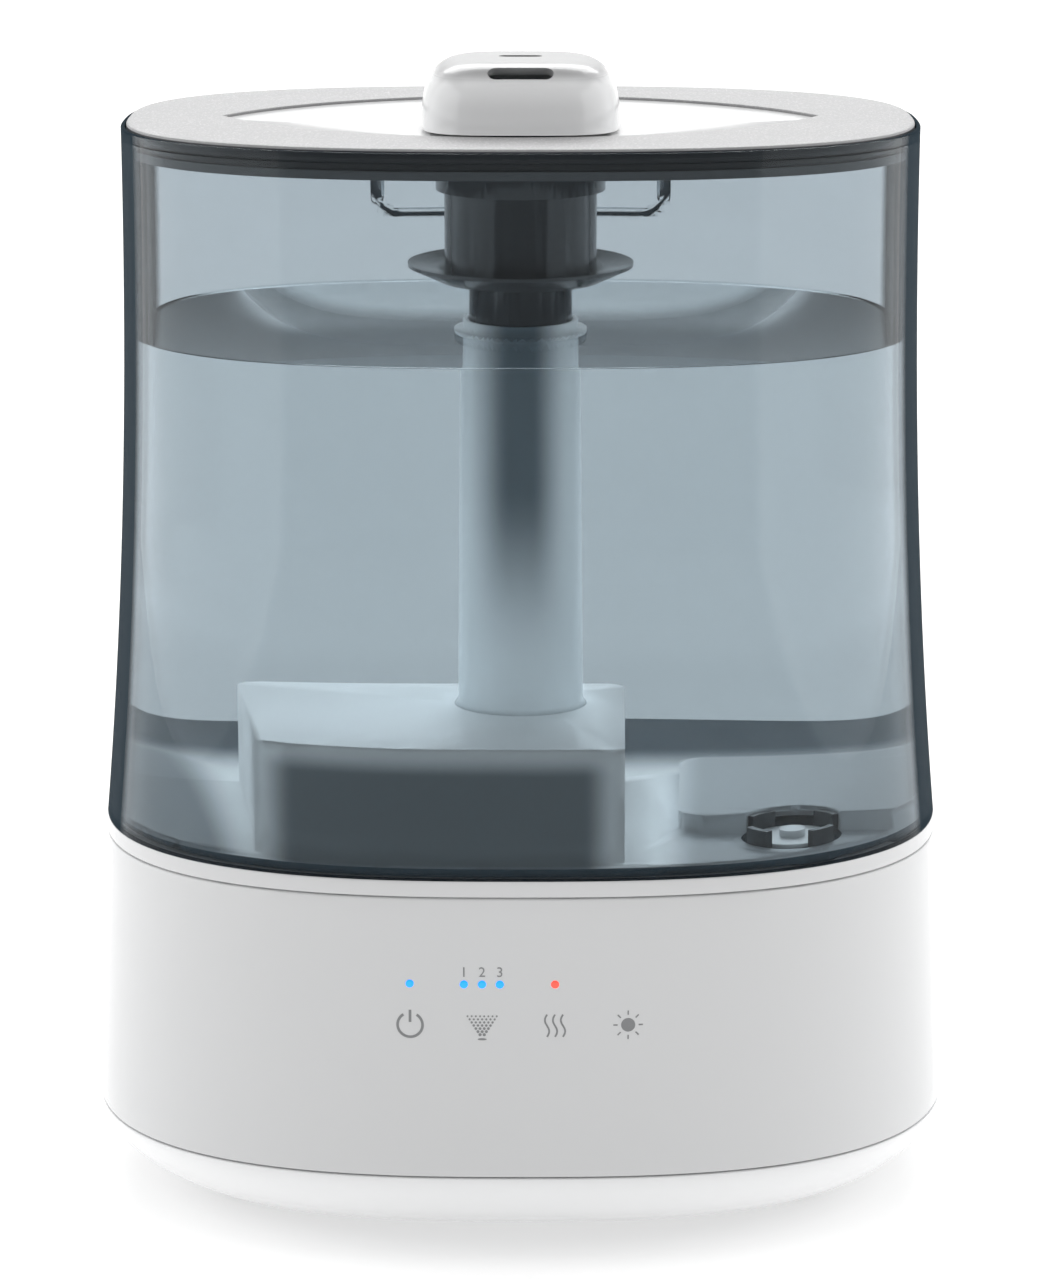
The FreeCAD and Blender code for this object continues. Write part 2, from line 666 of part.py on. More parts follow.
def floor_slab(low, thickness):
    """Plate under the whole tank that falls towards the front."""
    half = BODY_D / 2.0
    points = [Vec(-BODY_W, -half, low), Vec(-BODY_W, half, low + FLOOR_FALL)]
    points += [Vec(-BODY_W, half, low + FLOOR_FALL + thickness), Vec(-BODY_W, -half, low + thickness)]
    outline = Part.makePolygon(points + [points[0]])
    return Part.Face(outline).extrude(Vec(2.0 * BODY_W, 0, 0))


def chamber_block(inward, low, high):
    """Mist chamber's outline moved inwards, following the front wall."""
    xs = grown(CHAMBER_X, -inward)
    solid = block(xs, (-BODY_D, CHAMBER_BACK - inward), (low, high))
    edges = [e for e in upright_edges(solid) if e.CenterOfMass.y > 0.0]
    solid = solid.makeFillet(max(1.0, 6.0 - inward), edges)
    return solid.common(tank_body(BASE_H - 12.0, BASE_H + 60.0, TANK_WALL + CHAMBER_FRONT_GAP + inward))


def platform_block(inward, low, high):
    """Low platform at the right of the tank's floor."""
    solid = block((PLATFORM_X + inward, BODY_W), grown(PLATFORM_Y, -inward), (low, high))
    edges = [e for e in upright_edges(solid) if e.CenterOfMass.x < BODY_W / 2.0]
    return solid.makeFillet(max(1.0, 7.0 - inward), edges)


def tank_floor():
    """Moulded floor with the mist chamber, platform and valve sump."""
    low = BASE_H + SEAT_GAP
    inside = tank_body(BASE_H - 12.0, BASE_H + 60.0, TANK_WALL + BOND)
    slab = floor_slab(low, TANK_WALL)
    chamber = chamber_block(0.0, low, CHAMBER_Z)
    skirt_room = oval_prism(BASE_TAPER + RIM_BAND_W + 2.0 * SLIP, BASE_H - CHAMBER_SKIRT, low + 1.0)
    skirt = chamber_block(0.0, BASE_H - CHAMBER_SKIRT, low + 1.0).common(skirt_room)
    platform = platform_block(0.0, low, BASE_H + PLATFORM_TOP)
    sump = rod(VALVE_AT[0], VALVE_AT[1], SUMP_R + 2.5, low, BASE_H + 4.0)
    neck = rod(VALVE_AT[0], VALVE_AT[1], VALVE_BORE + 3.5, valve_neck_z(), low + 1.0)
    solid = slab.fuse([platform, sump]).common(inside).fuse([chamber, skirt, neck])
    cuts = [chamber_block(TANK_WALL, BASE_H - CHAMBER_SKIRT - 1.0, CHAMBER_Z - TANK_WALL)]
    cuts.append(platform_block(TANK_WALL, low - 1.0, BASE_H + PLATFORM_TOP - TANK_WALL)
                .common(tank_body(BASE_H - 12.0, BASE_H + 60.0, 2.0 * TANK_WALL)))
    cuts.append(rod(VALVE_AT[0], VALVE_AT[1], SUMP_R - 1.0, low + 1.5, BASE_H + 30.0))
    cuts.append(rod(VALVE_AT[0], VALVE_AT[1], VALVE_BORE, 0.0, BASE_H + 30.0))
    cuts.append(rod(0.0, AXIS_Y, spigot_r() + FIT, BASE_H, CHAMBER_Z + 5.0))
    solid = solid.cut(cuts)
    hub = tube(VALVE_AT[0], VALVE_AT[1], 4.0, 2.3, valve_neck_z(), valve_neck_z() + 2.5)
    arms = []
    for i in range(3):
        reach = (VALVE_AT[0] + 3.0, VALVE_AT[0] + VALVE_BORE + 1.0)
        arm = block(reach, (VALVE_AT[1] - 0.8, VALVE_AT[1] + 0.8),
                    (valve_neck_z(), valve_neck_z() + 2.5))
        arm.rotate(Vec(VALVE_AT[0], VALVE_AT[1], 0), Vec(0, 0, 1), 120.0 * i)
        arms.append(arm)
    return joined(solid, [hub] + arms)


def valve_neck_z():
    """Lower end of the valve's neck."""
    return BASE_H - 5.0


def valve_seat_z():
    """Level that the valve's seal closes on."""
    return BASE_H + SEAT_GAP + 1.5


def valve_cage():
    """Guide ring with upright tabs round the valve."""
    x, y = VALVE_AT
    low = valve_seat_z()
    ring = tube(x, y, SUMP_R - 1.0 - FIT, 11.6, low, low + 1.5)
    tabs = []
    for i in range(4):
        tab = tube(x, y, SUMP_R - 1.0 - FIT, 11.9, low, low + 7.0)
        wedge = block((x + 6.0, x + 20.0), (y - 4.0, y + 4.0), (low, low + 7.0))
        wedge.rotate(Vec(x, y, 0), Vec(0, 0, 1), 45.0 + 90.0 * i)
        tabs.append(tab.common(wedge))
    return joined(ring, tabs)


def valve_plunger():
    """Disc and stem of the outlet valve."""
    x, y = VALVE_AT
    seat = valve_seat_z() + 1.4
    disc = rod(x, y, 10.8, seat, seat + 1.4)
    knob = rod(x, y, 3.6, seat + 1.4, seat + 3.4)
    stem = rod(x, y, 2.0, valve_collar_z(), seat)
    collar = rod(x, y, 4.4, valve_collar_z(), valve_collar_z() + 1.2)
    return joined(disc, [knob, stem, collar])


def valve_seal():
    """Rubber washer under the valve's disc."""
    seat = valve_seat_z()
    return tube(VALVE_AT[0], VALVE_AT[1], 10.5, 2.0 + FIT, seat + SEAT_GAP, seat + 1.4)


def valve_spring():
    """Coil of square wire between the stem's collar and the neck's guide."""
    low = valve_collar_z() + 1.2
    high = valve_neck_z()
    half = SPRING_WIRE / 2.0
    pitch = (high - low - SPRING_WIRE) / SPRING_TURNS
    helix = Part.makeHelix(pitch, pitch * SPRING_TURNS, SPRING_R)
    helix.translate(Vec(VALVE_AT[0], VALVE_AT[1], low + half))
    start = helix.Vertexes[0].Point
    corners = [(-half, -half), (half, -half), (half, half), (-half, half), (-half, -half)]
    section = Part.makePolygon([start + Vec(x, 0, z) for x, z in corners])
    return Part.Wire(helix).makePipeShell([section], True, True)


def spigot_r():
    """Chimney's lower spigot in the chamber's roof."""
    return CHIMNEY_R_FOOT - 2.4


def chimney():
    """Tapered mist tube on the chamber, with a small ring near its top."""
    top = CHIMNEY_Z
    foot = CHAMBER_Z
    bore_top = CHIMNEY_R_TOP - CHIMNEY_WALL
    bore_foot = spigot_r() - 1.2
    ring_z = top - 3.2
    outline = [(bore_foot, foot - 8.0), (spigot_r(), foot - 8.0), (spigot_r(), foot)]
    outline += [(CHIMNEY_R_FOOT + 1.0, foot), (CHIMNEY_R_FOOT, foot + 1.5)]
    outline += [(CHIMNEY_R_TOP + 0.05, ring_z - 0.6), (CHIMNEY_RING_R, ring_z - 0.6)]
    outline += [(CHIMNEY_RING_R, ring_z + 0.6), (CHIMNEY_R_TOP, ring_z + 0.6)]
    outline += [(CHIMNEY_R_TOP, top), (bore_top, top)]
    outline += [(bore_top, top - DUCT_OVERLAP - 6.0), (bore_foot, foot + 20.0)]
    return turned(outline)


def chimney_seal():
    """Rubber ring round the chimney's spigot, under the chamber's roof."""
    high = CHAMBER_Z - TANK_WALL
    return tube(0.0, AXIS_Y, spigot_r() + 3.0, spigot_r() + FIT, high - 3.0, high)


# ---- Lid ----
def lens_solid(grow, low, high):
    """Eye-shaped outline from two arcs, grown outwards, as a solid."""
    radius = (LENS_HALF_L ** 2 + LENS_HALF_W ** 2) / (2.0 * LENS_HALF_W)
    offset = radius - LENS_HALF_W
    front = rod(0.0, offset, radius + grow, low, high)
    back = rod(0.0, -offset, radius + grow, low, high)
    return front.common(back)


def lid_inset():
    """Edge of the lid plate, inside the tank's lip."""
    return tank_inset(TANK_TOP) + RIM_LIP + SLIP


def lid_panel():
    """Lid plate with the inlay's recess, a hole for the collar and a skirt."""
    low = LID_TOP - LID_T
    plate = oval_prism(lid_inset(), low, LID_TOP)
    rims = [e for e in plate.Edges if e.BoundBox.ZMin > LID_TOP - 1e-3]
    plate = plate.makeFillet(0.8, rims)
    outer = tank_inset(low) + TANK_WALL + SKIRT_GAP
    skirt = oval_ring(outer, outer + SKIRT_T, low - SKIRT_H, low)
    lid = joined(plate, [skirt])
    groove = oval_ring(outer - 1.0, outer + 0.8, low - 4.6, low - 2.2)
    recess = lens_solid(0.0, LID_TOP - LENS_DEPTH, LID_TOP + 1.0)
    hole = rod(0.0, AXIS_Y, COLLAR_STEP_R + FIT, low - 5.0, LID_TOP + 1.0)
    return lid.cut([groove, recess, hole])


def lid_gasket():
    """Silicone ring in the skirt's groove."""
    low = LID_TOP - LID_T
    outer = tank_inset(low) + TANK_WALL + SKIRT_GAP
    return oval_ring(tank_inset(low) + TANK_WALL + GASKET_GAP, outer + 0.8 - FIT, low - 4.6, low - 2.2)


def lid_inlay():
    """Glossy inlay in the recess, with a hole for the nozzle's collar."""
    low = LID_TOP - LENS_DEPTH
    sheet = lens_solid(-0.15, low, low + LENS_SHEET)
    return sheet.cut(rod(0.0, AXIS_Y, COLLAR_STEP_R + FIT, low - 1.0, LID_TOP))


def mist_collar():
    """Stepped collar under the lid that carries the duct and the nozzle."""
    under = LID_TOP - LID_T
    bore = NOZZLE_STEM_R + SLIP
    outline = [(bore, under + LID_T - LENS_DEPTH + LENS_SHEET), (bore, under - 11.0)]
    outline += [(STEM_R + FIT, under - 11.0)]
    outline += [(STEM_R + FIT, under - 14.4), (COLLAR_STEP_R, under - 14.4), (COLLAR_STEP_R, under - 6.3)]
    outline += [(COLLAR_R, under - 6.3), (COLLAR_R, under), (COLLAR_STEP_R, under)]
    outline += [(COLLAR_STEP_R, under + LID_T - LENS_DEPTH + LENS_SHEET)]
    return turned(outline)


def mist_duct():
    """Stem with the drip saucer and the lower tube that enters the chimney."""
    top = LID_TOP - LID_T - 11.0
    saucer = CHIMNEY_Z + 15.5
    low = CHIMNEY_Z - DUCT_OVERLAP
    outline = [(STEM_R, top), (STEM_R, saucer - 1.0), (DRIP_R, saucer + 0.6), (DRIP_R, saucer - 0.4)]
    outline += [(STEM_R + 1.5, saucer - 4.5), (DUCT_R, saucer - 4.5), (DUCT_R, low)]
    outline += [(DUCT_R - DUCT_WALL, low), (DUCT_R - DUCT_WALL, saucer - 3.0), (STEM_R - 1.8, saucer - 1.0)]
    outline += [(STEM_R - 1.8, top)]
    return turned(outline)


# ---- Nozzle ----
def square_wire(half, z):
    """Rounded square about the mist axis."""
    power = 3.6
    count = 32
    points = []
    for i in range(count):
        t = 2.0 * math.pi * i / count
        c = math.cos(t)
        s = math.sin(t)
        x = half * math.copysign(abs(c) ** (2.0 / power), c)
        y = half * math.copysign(abs(s) ** (2.0 / power), s)
        points.append(Vec(x, y + AXIS_Y, z))
    curve = Part.BSplineCurve()
    curve.interpolate(Points=points, PeriodicFlag=True)
    return Part.Wire([curve.toShape()])


def nozzle_dome(inward):
    """Domed solid of the nozzle, moved inwards."""
    foot = nozzle_foot_z()
    rise = LID_TOP + NOZZLE_RISE - foot - inward
    rows = [(0.0, 0.0), (0.35, 0.3), (0.62, 1.4), (0.82, 3.8), (0.95, 7.4), (1.0, 11.5)]
    wires = [square_wire(NOZZLE_HALF - inward - step, foot + rise * share) for share, step in rows]
    return Part.makeLoft(wires, True, False)


def nozzle_foot_z():
    """Underside of the nozzle, just above the inlay."""
    return LID_TOP - LENS_DEPTH + LENS_SHEET + 0.4


def nozzle_cap():
    """Hollow dome with a front slot and a top slot."""
    foot = nozzle_foot_z()
    top = LID_TOP + NOZZLE_RISE
    dome = nozzle_dome(0.0).cut(nozzle_dome(NOZZLE_WALL))
    dome = dome.cut(rod(0.0, AXIS_Y, NOZZLE_HALF - 5.0, foot - 1.0, foot + 2.4))
    front = slot_bar(9.0, 2.3)
    front.rotate(Vec(0, 0, 0), Vec(1, 0, 0), 52.0)
    front.translate(Vec(0, AXIS_Y - NOZZLE_HALF + 8.6, top - 4.6))
    upper = slot_bar(6.0, 2.2)
    upper.translate(Vec(0, AXIS_Y + 3.0, top))
    return dome.cut([front, upper])


def slot_bar(half, radius):
    """Stadium-section bar along Z that cuts a slot."""
    length = 12.0
    flat = half - radius
    bar = block((-flat, flat), (-radius, radius), (-length, length))
    ends = [rod(x, 0.0, radius, -length, length) for x in (-flat, flat)]
    return joined(bar, ends)


def nozzle_stem():
    """Flange under the dome and the sleeve that turns in the collar."""
    foot = nozzle_foot_z()
    under = LID_TOP - LID_T
    outline = [(NOZZLE_STEM_R, under - 10.0), (NOZZLE_STEM_R, foot + 0.2)]
    outline += [(NOZZLE_HALF - 5.0 - FIT, foot + 0.2)]
    outline += [(NOZZLE_HALF - 5.0 - FIT, foot + 2.2), (NOZZLE_STEM_R - 1.6, foot + 2.2)]
    outline += [(NOZZLE_STEM_R - 1.6, under - 10.0)]
    return turned(outline)


NODES = {
    "base_pan": base_pan, "base_shell": base_shell, "feet": feet, "case_screws": case_screws,
    "cord_grommet": cord_grommet, "basin": basin, "transducer_disc": transducer_disc,
    "transducer_seal": transducer_seal, "transducer_holder": transducer_holder, "holder_screws": holder_screws,
    "heater_plate": heater_plate, "heater_element": heater_element, "level_sensor": level_sensor,
    "float": float_body, "float_magnet": float_magnet, "float_cap": float_cap,
    "night_light_lens": night_light_lens, "fan_housing": fan_housing, "fan_motor": fan_motor,
    "fan_rotor": fan_rotor, "air_duct": air_duct, "air_filter": air_filter, "power_board": power_board,
    "board_parts": board_parts, "control_board": control_board, "lights_blue": lights_blue,
    "light_red": light_red, "touch_pads": touch_pads, "tank_shell": tank_shell, "tank_floor": tank_floor,
    "valve_cage": valve_cage, "valve_plunger": valve_plunger, "valve_seal": valve_seal,
    "valve_spring": valve_spring, "chimney": chimney, "chimney_seal": chimney_seal, "lid_panel": lid_panel,
    "lid_gasket": lid_gasket, "lid_inlay": lid_inlay, "mist_collar": mist_collar, "mist_duct": mist_duct,
    "nozzle_cap": nozzle_cap, "nozzle_stem": nozzle_stem,
}

os.makedirs("parts", exist_ok=True)
for node, make in NODES.items():
    shape = make()
    shape.exportStep("parts/" + node + ".step")
    print(node, "solids", len(shape.Solids), "valid", shape.isValid(), "volume", round(shape.Volume, 1))
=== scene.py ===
import json
import logging
import math
from dataclasses import dataclass, field
from enum import Enum
from typing import Iterable, Protocol, Sequence

import bmesh
import bpy
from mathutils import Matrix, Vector


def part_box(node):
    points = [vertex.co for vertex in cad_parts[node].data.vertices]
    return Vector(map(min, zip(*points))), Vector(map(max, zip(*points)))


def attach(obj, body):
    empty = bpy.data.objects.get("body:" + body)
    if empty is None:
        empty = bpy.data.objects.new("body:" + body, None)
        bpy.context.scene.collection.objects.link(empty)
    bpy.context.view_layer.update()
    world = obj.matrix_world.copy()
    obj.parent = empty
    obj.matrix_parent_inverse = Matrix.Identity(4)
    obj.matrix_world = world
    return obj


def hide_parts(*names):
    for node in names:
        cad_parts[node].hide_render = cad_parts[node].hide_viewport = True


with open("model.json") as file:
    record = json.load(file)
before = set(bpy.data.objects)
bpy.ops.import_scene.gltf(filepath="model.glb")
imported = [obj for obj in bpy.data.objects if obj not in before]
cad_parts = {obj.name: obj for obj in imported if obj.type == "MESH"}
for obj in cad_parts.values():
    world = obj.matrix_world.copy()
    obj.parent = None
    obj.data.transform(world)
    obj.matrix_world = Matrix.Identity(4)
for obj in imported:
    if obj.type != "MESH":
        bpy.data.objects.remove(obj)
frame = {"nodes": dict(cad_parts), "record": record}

LOG = logging.getLogger("humidifier")
MM = 0.001
RGB = tuple[float, float, float]
Row = tuple[float, float]

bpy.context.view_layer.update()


# ---------------------------------------------------------------- outlines
class Outline(Protocol):
    """A closed curve round the object that a skin can be swept along."""

    def point(self, turn: float, inset: float, z: float) -> Vector:
        """Point at a turn angle, moved inwards by inset, at height z."""


@dataclass(frozen=True)
class Oval:
    """Superellipse about the origin: the outline of the base, tank and lid."""

    half_w: float
    half_d: float
    power: float = 2.65

    def point(self, turn: float, inset: float, z: float) -> Vector:
        """Point at a turn angle, moved inwards by inset, at height z.

        Args:
            turn: angle round the outline.
            inset: distance inside the outline.
            z: height.

        Returns:
            The point.
        """
        c, s = math.cos(turn), math.sin(turn)
        k = (abs(c) ** self.power + abs(s) ** self.power) ** (-1.0 / self.power)
        return Vector(((self.half_w - inset) * k * c, (self.half_d - inset) * k * s, z))

    def front(self, x: float, inset: float) -> float:
        """Y of the front wall at a given x."""
        share = min(1.0, abs(x) / (self.half_w - inset))
        return -(self.half_d - inset) * (1.0 - share ** self.power) ** (1.0 / self.power)


@dataclass(frozen=True)
class Eye:
    """Two arcs that meet in points on the X axis: the outline of the lid's inlay."""

    half_l: float
    half_w: float

    def point(self, turn: float, inset: float, z: float) -> Vector:
        """Point at a turn angle, moved inwards by inset, at height z.

        Args:
            turn: angle round the outline.
            inset: distance inside the outline.
            z: height.

        Returns:
            The point.
        """
        radius = (self.half_l ** 2 + self.half_w ** 2) / (2.0 * self.half_w)
        offset = radius - self.half_w
        c, s = math.cos(turn), math.sin(turn)
        reach = radius - inset
        r = -offset * abs(s) + math.sqrt(max(0.0, (offset * s) ** 2 + reach ** 2 - offset ** 2))
        return Vector((r * c, r * s, z))


@dataclass(frozen=True)
class Ring:
    """Circle about a point."""

    radius: float
    centre_x: float = 0.0
    centre_y: float = 0.0

    def point(self, turn: float, inset: float, z: float) -> Vector:
        """Point at a turn angle, moved inwards by inset, at height z."""
        r = self.radius - inset
        return Vector((self.centre_x + r * math.cos(turn), self.centre_y + r * math.sin(turn), z))


# ---------------------------------------------------------------- mesh building
class Skin:
    """A surface grown ring by ring from one circle of edges."""

    def __init__(self, segments: int) -> None:
        """Start with a ring of vertices that remember their turn angle.

        Args:
            segments: how many vertices go round.
        """
        self.bm = bmesh.new()
        self.turn = self.bm.verts.layers.float.new("turn")
        bmesh.ops.create_circle(self.bm, cap_ends=False, radius=1.0, segments=segments)
        for vert in self.bm.verts:
            vert[self.turn] = math.atan2(vert.co.y, vert.co.x)
        self.first = list(self.bm.edges)
        self.last = list(self.first)
        self.started = False

    def level(self, outline: Outline, inset: float, z: float) -> None:
        """Add a ring on an outline, or place the first one.

        Args:
            outline: curve to follow.
            inset: distance inside the outline.
            z: height of the ring.
        """
        if self.started:
            grown = bmesh.ops.extrude_edge_only(self.bm, edges=self.last)["geom"]
            self.last = [g for g in grown if isinstance(g, bmesh.types.BMEdge)]
            self.last = [e for e in self.last if self._is_new(e, grown)]
        verts = {v for e in self.last for v in e.verts}
        for vert in verts:
            vert.co = outline.point(vert[self.turn], inset, z)
        self.started = True

    @staticmethod
    def _is_new(edge: bmesh.types.BMEdge, grown: Sequence) -> bool:
        """True where both ends of an edge belong to the new ring."""
        return all(v in grown for v in edge.verts)

    def levels(self, outline: Outline, rows: Iterable[Row]) -> None:
        """Add a ring for each (inset, z) row."""
        for inset, z in rows:
            self.level(outline, inset, z)

    def close(self) -> None:
        """Join the last ring to the first, so the skin becomes a closed ring of wall."""
        bmesh.ops.bridge_loops(self.bm, edges=self.first + self.last)

    def cap(self, edges: Sequence[bmesh.types.BMEdge]) -> None:
        """Close one open ring with a flat face."""
        bmesh.ops.contextual_create(self.bm, geom=list(edges))


def smooth_rows(rows: Sequence[Row], radius: float, steps: int = 4) -> list[Row]:
    """Round the corners of an open profile.

    Args:
        rows: (inset, z) corners.
        radius: how far from each corner the rounding starts.
        steps: points on each rounded corner.

    Returns:
        The rows with each inner corner replaced by a short curve.
    """
    out: list[Row] = [rows[0]]
    for before, corner, after in zip(rows, rows[1:], rows[2:]):
        a, b, c = Vector(before), Vector(corner), Vector(after)
        reach_a = min(radius, 0.49 * (a - b).length)
        reach_c = min(radius, 0.49 * (c - b).length)
        start = b + (a - b).normalized() * reach_a
        end = b + (c - b).normalized() * reach_c
        for i in range(steps + 1):
            t = i / steps
            p = start * (1 - t) ** 2 + b * 2 * t * (1 - t) + end * t ** 2
            out.append((p.x, p.y))
    out.append(rows[-1])
    return out


def spread(low: float, high: float, count: int) -> list[float]:
    """Evenly spaced values, both ends included."""
    return [low + (high - low) * i / (count - 1) for i in range(count)]


def finish_mesh(name: str, bm: bmesh.types.BMesh, sharp_deg: float = 38.0,
                recalc: bool = True) -> bpy.types.Object:
    """Turn a bmesh into a linked, smooth-shaded object.

    Args:
        name: name of the new object.
        bm: mesh to use up.
        sharp_deg: edges sharper than this stay crisp.
        recalc: make all faces point outwards.

    Returns:
        The new object, at the origin.
    """
    bmesh.ops.remove_doubles(bm, verts=bm.verts, dist=1e-6)
    if recalc:
        bmesh.ops.recalc_face_normals(bm, faces=bm.faces)
    for face in bm.faces:
        face.smooth = True
    mesh = bpy.data.meshes.new(name)
    bm.to_mesh(mesh)
    bm.free()
    mesh.set_sharp_from_angle(angle=math.radians(sharp_deg))
    obj = bpy.data.objects.new(name, mesh)
    bpy.context.scene.collection.objects.link(obj)
    return obj


def polished_copy(name: str, node: str, sharp_deg: float = 30.0) -> bpy.types.Object:
    """Copy a CAD node, join its loose triangles and shade it smooth.

    Args:
        name: name of the copy.
        node: node to copy.
        sharp_deg: edges sharper than this stay crisp.

    Returns:
        The copy, which takes the place of the node.
    """
    bm = bmesh.new()
    bm.from_mesh(frame["nodes"][node].data)
    obj = finish_mesh(name, bm, sharp_deg, recalc=False)
    even = obj.modifiers.new("even_normals", "WEIGHTED_NORMAL")
    even.keep_sharp = True
    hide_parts(node)
    return obj


# ---------------------------------------------------------------- finishes
class Surface(Enum):
    """Kinds of fine surface that the moulded parts have."""

    POLISHED = "polished"
    SATIN = "satin"
    SPARKLE = "sparkle"
    BRUSHED = "brushed"


class Effects:
    """Shader groups shared by the finishes, each built once."""

    _made: dict[str, bpy.types.NodeTree] = {}

    @classmethod
    def grain(cls) -> bpy.types.NodeTree:
        """Moulded plastic: soft colour drift, fine grain and faint handling marks.

        Returns:
            The group, with Color, Roughness and Height.
        """
        if "grain" in cls._made:
            return cls._made["grain"]
        tree = bpy.data.node_groups.new("moulded_grain", "ShaderNodeTree")
        cls._made["grain"] = tree
        face = tree.interface
        face.new_socket("Base", in_out="INPUT", socket_type="NodeSocketColor")
        for label, value in (("Drift", 0.02), ("Roughness", 0.2), ("Rough Drift", 0.05), ("Scale", 900.0),
                             ("Flakes", 0.0)):
            socket = face.new_socket(label, in_out="INPUT", socket_type="NodeSocketFloat")
            socket.default_value = value
        face.new_socket("Color", in_out="OUTPUT", socket_type="NodeSocketColor")
        face.new_socket("Roughness", in_out="OUTPUT", socket_type="NodeSocketFloat")
        face.new_socket("Height", in_out="OUTPUT", socket_type="NodeSocketFloat")
        nodes, links = tree.nodes, tree.links
        into = nodes.new("NodeGroupInput")
        out = nodes.new("NodeGroupOutput")
        coord = nodes.new("ShaderNodeTexCoord")
        wide = cls._noise(tree, coord, 14.0, 3.0)
        fine = nodes.new("ShaderNodeTexNoise")
        fine.inputs["Detail"].default_value = 2.0
        links.new(coord.outputs["Object"], fine.inputs["Vector"])
        links.new(into.outputs["Scale"], fine.inputs["Scale"])
        marks = cls._noise(tree, coord, 55.0, 6.0)
        spots = nodes.new("ShaderNodeTexVoronoi")
        links.new(coord.outputs["Object"], spots.inputs["Vector"])
        links.new(into.outputs["Scale"], spots.inputs["Scale"])
        drift = cls.math(tree, "SUBTRACT", wide.outputs["Fac"], 0.5)
        amount = cls.math(tree, "MULTIPLY", drift, into.outputs["Drift"])
        glint = cls.math(tree, "GREATER_THAN", cls._channel(tree, spots.outputs["Color"]), 0.86)
        flake = cls.math(tree, "MULTIPLY", glint, into.outputs["Flakes"])
        gain = cls.math(tree, "ADD", cls.math(tree, "ADD", amount, flake), 1.0)
        tint = nodes.new("ShaderNodeVectorMath")
        tint.operation = "SCALE"
        links.new(into.outputs["Base"], tint.inputs[0])
        links.new(gain, tint.inputs["Scale"])
        links.new(tint.outputs["Vector"], out.inputs["Color"])
        rough = cls.math(tree, "MULTIPLY", cls.math(tree, "SUBTRACT", marks.outputs["Fac"], 0.5),
                          into.outputs["Rough Drift"])
        rough = cls.math(tree, "ADD", rough, into.outputs["Roughness"])
        rough = cls.math(tree, "SUBTRACT", rough, cls.math(tree, "MULTIPLY", flake, 0.6))
        links.new(rough, out.inputs["Roughness"])
        links.new(fine.outputs["Fac"], out.inputs["Height"])
        return tree

    @classmethod
    def brushed(cls) -> bpy.types.NodeTree:
        """Brushed metal: long fine streaks.

        Returns:
            The group, with Color, Roughness and Height.
        """
        if "brushed" in cls._made:
            return cls._made["brushed"]
        tree = bpy.data.node_groups.new("brushed_streaks", "ShaderNodeTree")
        cls._made["brushed"] = tree
        face = tree.interface
        face.new_socket("Base", in_out="INPUT", socket_type="NodeSocketColor")
        rough_in = face.new_socket("Roughness", in_out="INPUT", socket_type="NodeSocketFloat")
        rough_in.default_value = 0.3
        face.new_socket("Color", in_out="OUTPUT", socket_type="NodeSocketColor")
        face.new_socket("Roughness", in_out="OUTPUT", socket_type="NodeSocketFloat")
        face.new_socket("Height", in_out="OUTPUT", socket_type="NodeSocketFloat")
        nodes, links = tree.nodes, tree.links
        into = nodes.new("NodeGroupInput")
        out = nodes.new("NodeGroupOutput")
        coord = nodes.new("ShaderNodeTexCoord")
        stretch = nodes.new("ShaderNodeMapping")
        stretch.inputs["Scale"].default_value = (60.0, 2500.0, 2500.0)
        links.new(coord.outputs["Object"], stretch.inputs["Vector"])
        streaks = nodes.new("ShaderNodeTexNoise")
        streaks.inputs["Scale"].default_value = 1.0
        links.new(stretch.outputs["Vector"], streaks.inputs["Vector"])
        gain = cls.math(tree, "ADD", cls.math(tree, "MULTIPLY", streaks.outputs["Fac"], 0.3), 0.8)
        tint = nodes.new("ShaderNodeVectorMath")
        tint.operation = "SCALE"
        links.new(into.outputs["Base"], tint.inputs[0])
        links.new(gain, tint.inputs["Scale"])
        links.new(tint.outputs["Vector"], out.inputs["Color"])
        rough = cls.math(tree, "ADD", cls.math(tree, "MULTIPLY", streaks.outputs["Fac"], 0.15),
                          into.outputs["Roughness"])
        links.new(rough, out.inputs["Roughness"])
        links.new(streaks.outputs["Fac"], out.inputs["Height"])
        return tree

    @staticmethod
    def _noise(tree: bpy.types.NodeTree, coord: bpy.types.Node, scale: float,
               detail: float) -> bpy.types.Node:
        """Noise texture on object coordinates.

        Args:
            tree: tree to add to.
            coord: texture coordinate node.
            scale: scale of the noise.
            detail: octaves.

        Returns:
            The noise node.
        """
        node = tree.nodes.new("ShaderNodeTexNoise")
        node.inputs["Scale"].default_value = scale
        node.inputs["Detail"].default_value = detail
        tree.links.new(coord.outputs["Object"], node.inputs["Vector"])
        return node

    @staticmethod
    def _channel(tree: bpy.types.NodeTree, colour: bpy.types.NodeSocket) -> bpy.types.NodeSocket:
        """Red channel of a colour.

        Args:
            tree: tree to add to.
            colour: colour to split.

        Returns:
            The channel.
        """
        node = tree.nodes.new("ShaderNodeSeparateColor")
        tree.links.new(colour, node.inputs["Color"])
        return node.outputs["Red"]

    @staticmethod
    def math(tree: bpy.types.NodeTree, operation: str, first: bpy.types.NodeSocket,
              second: float | bpy.types.NodeSocket) -> bpy.types.NodeSocket:
        """One math node; the second operand is a number or a socket.

        Args:
            tree: tree to add to.
            operation: kind of math.
            first: first operand.
            second: second operand.

        Returns:
            The result.
        """
        node = tree.nodes.new("ShaderNodeMath")
        node.operation = operation
        tree.links.new(first, node.inputs[0])
        if isinstance(second, (int, float)):
            node.inputs[1].default_value = second
        else:
            tree.links.new(second, node.inputs[1])
        return node.outputs[0]


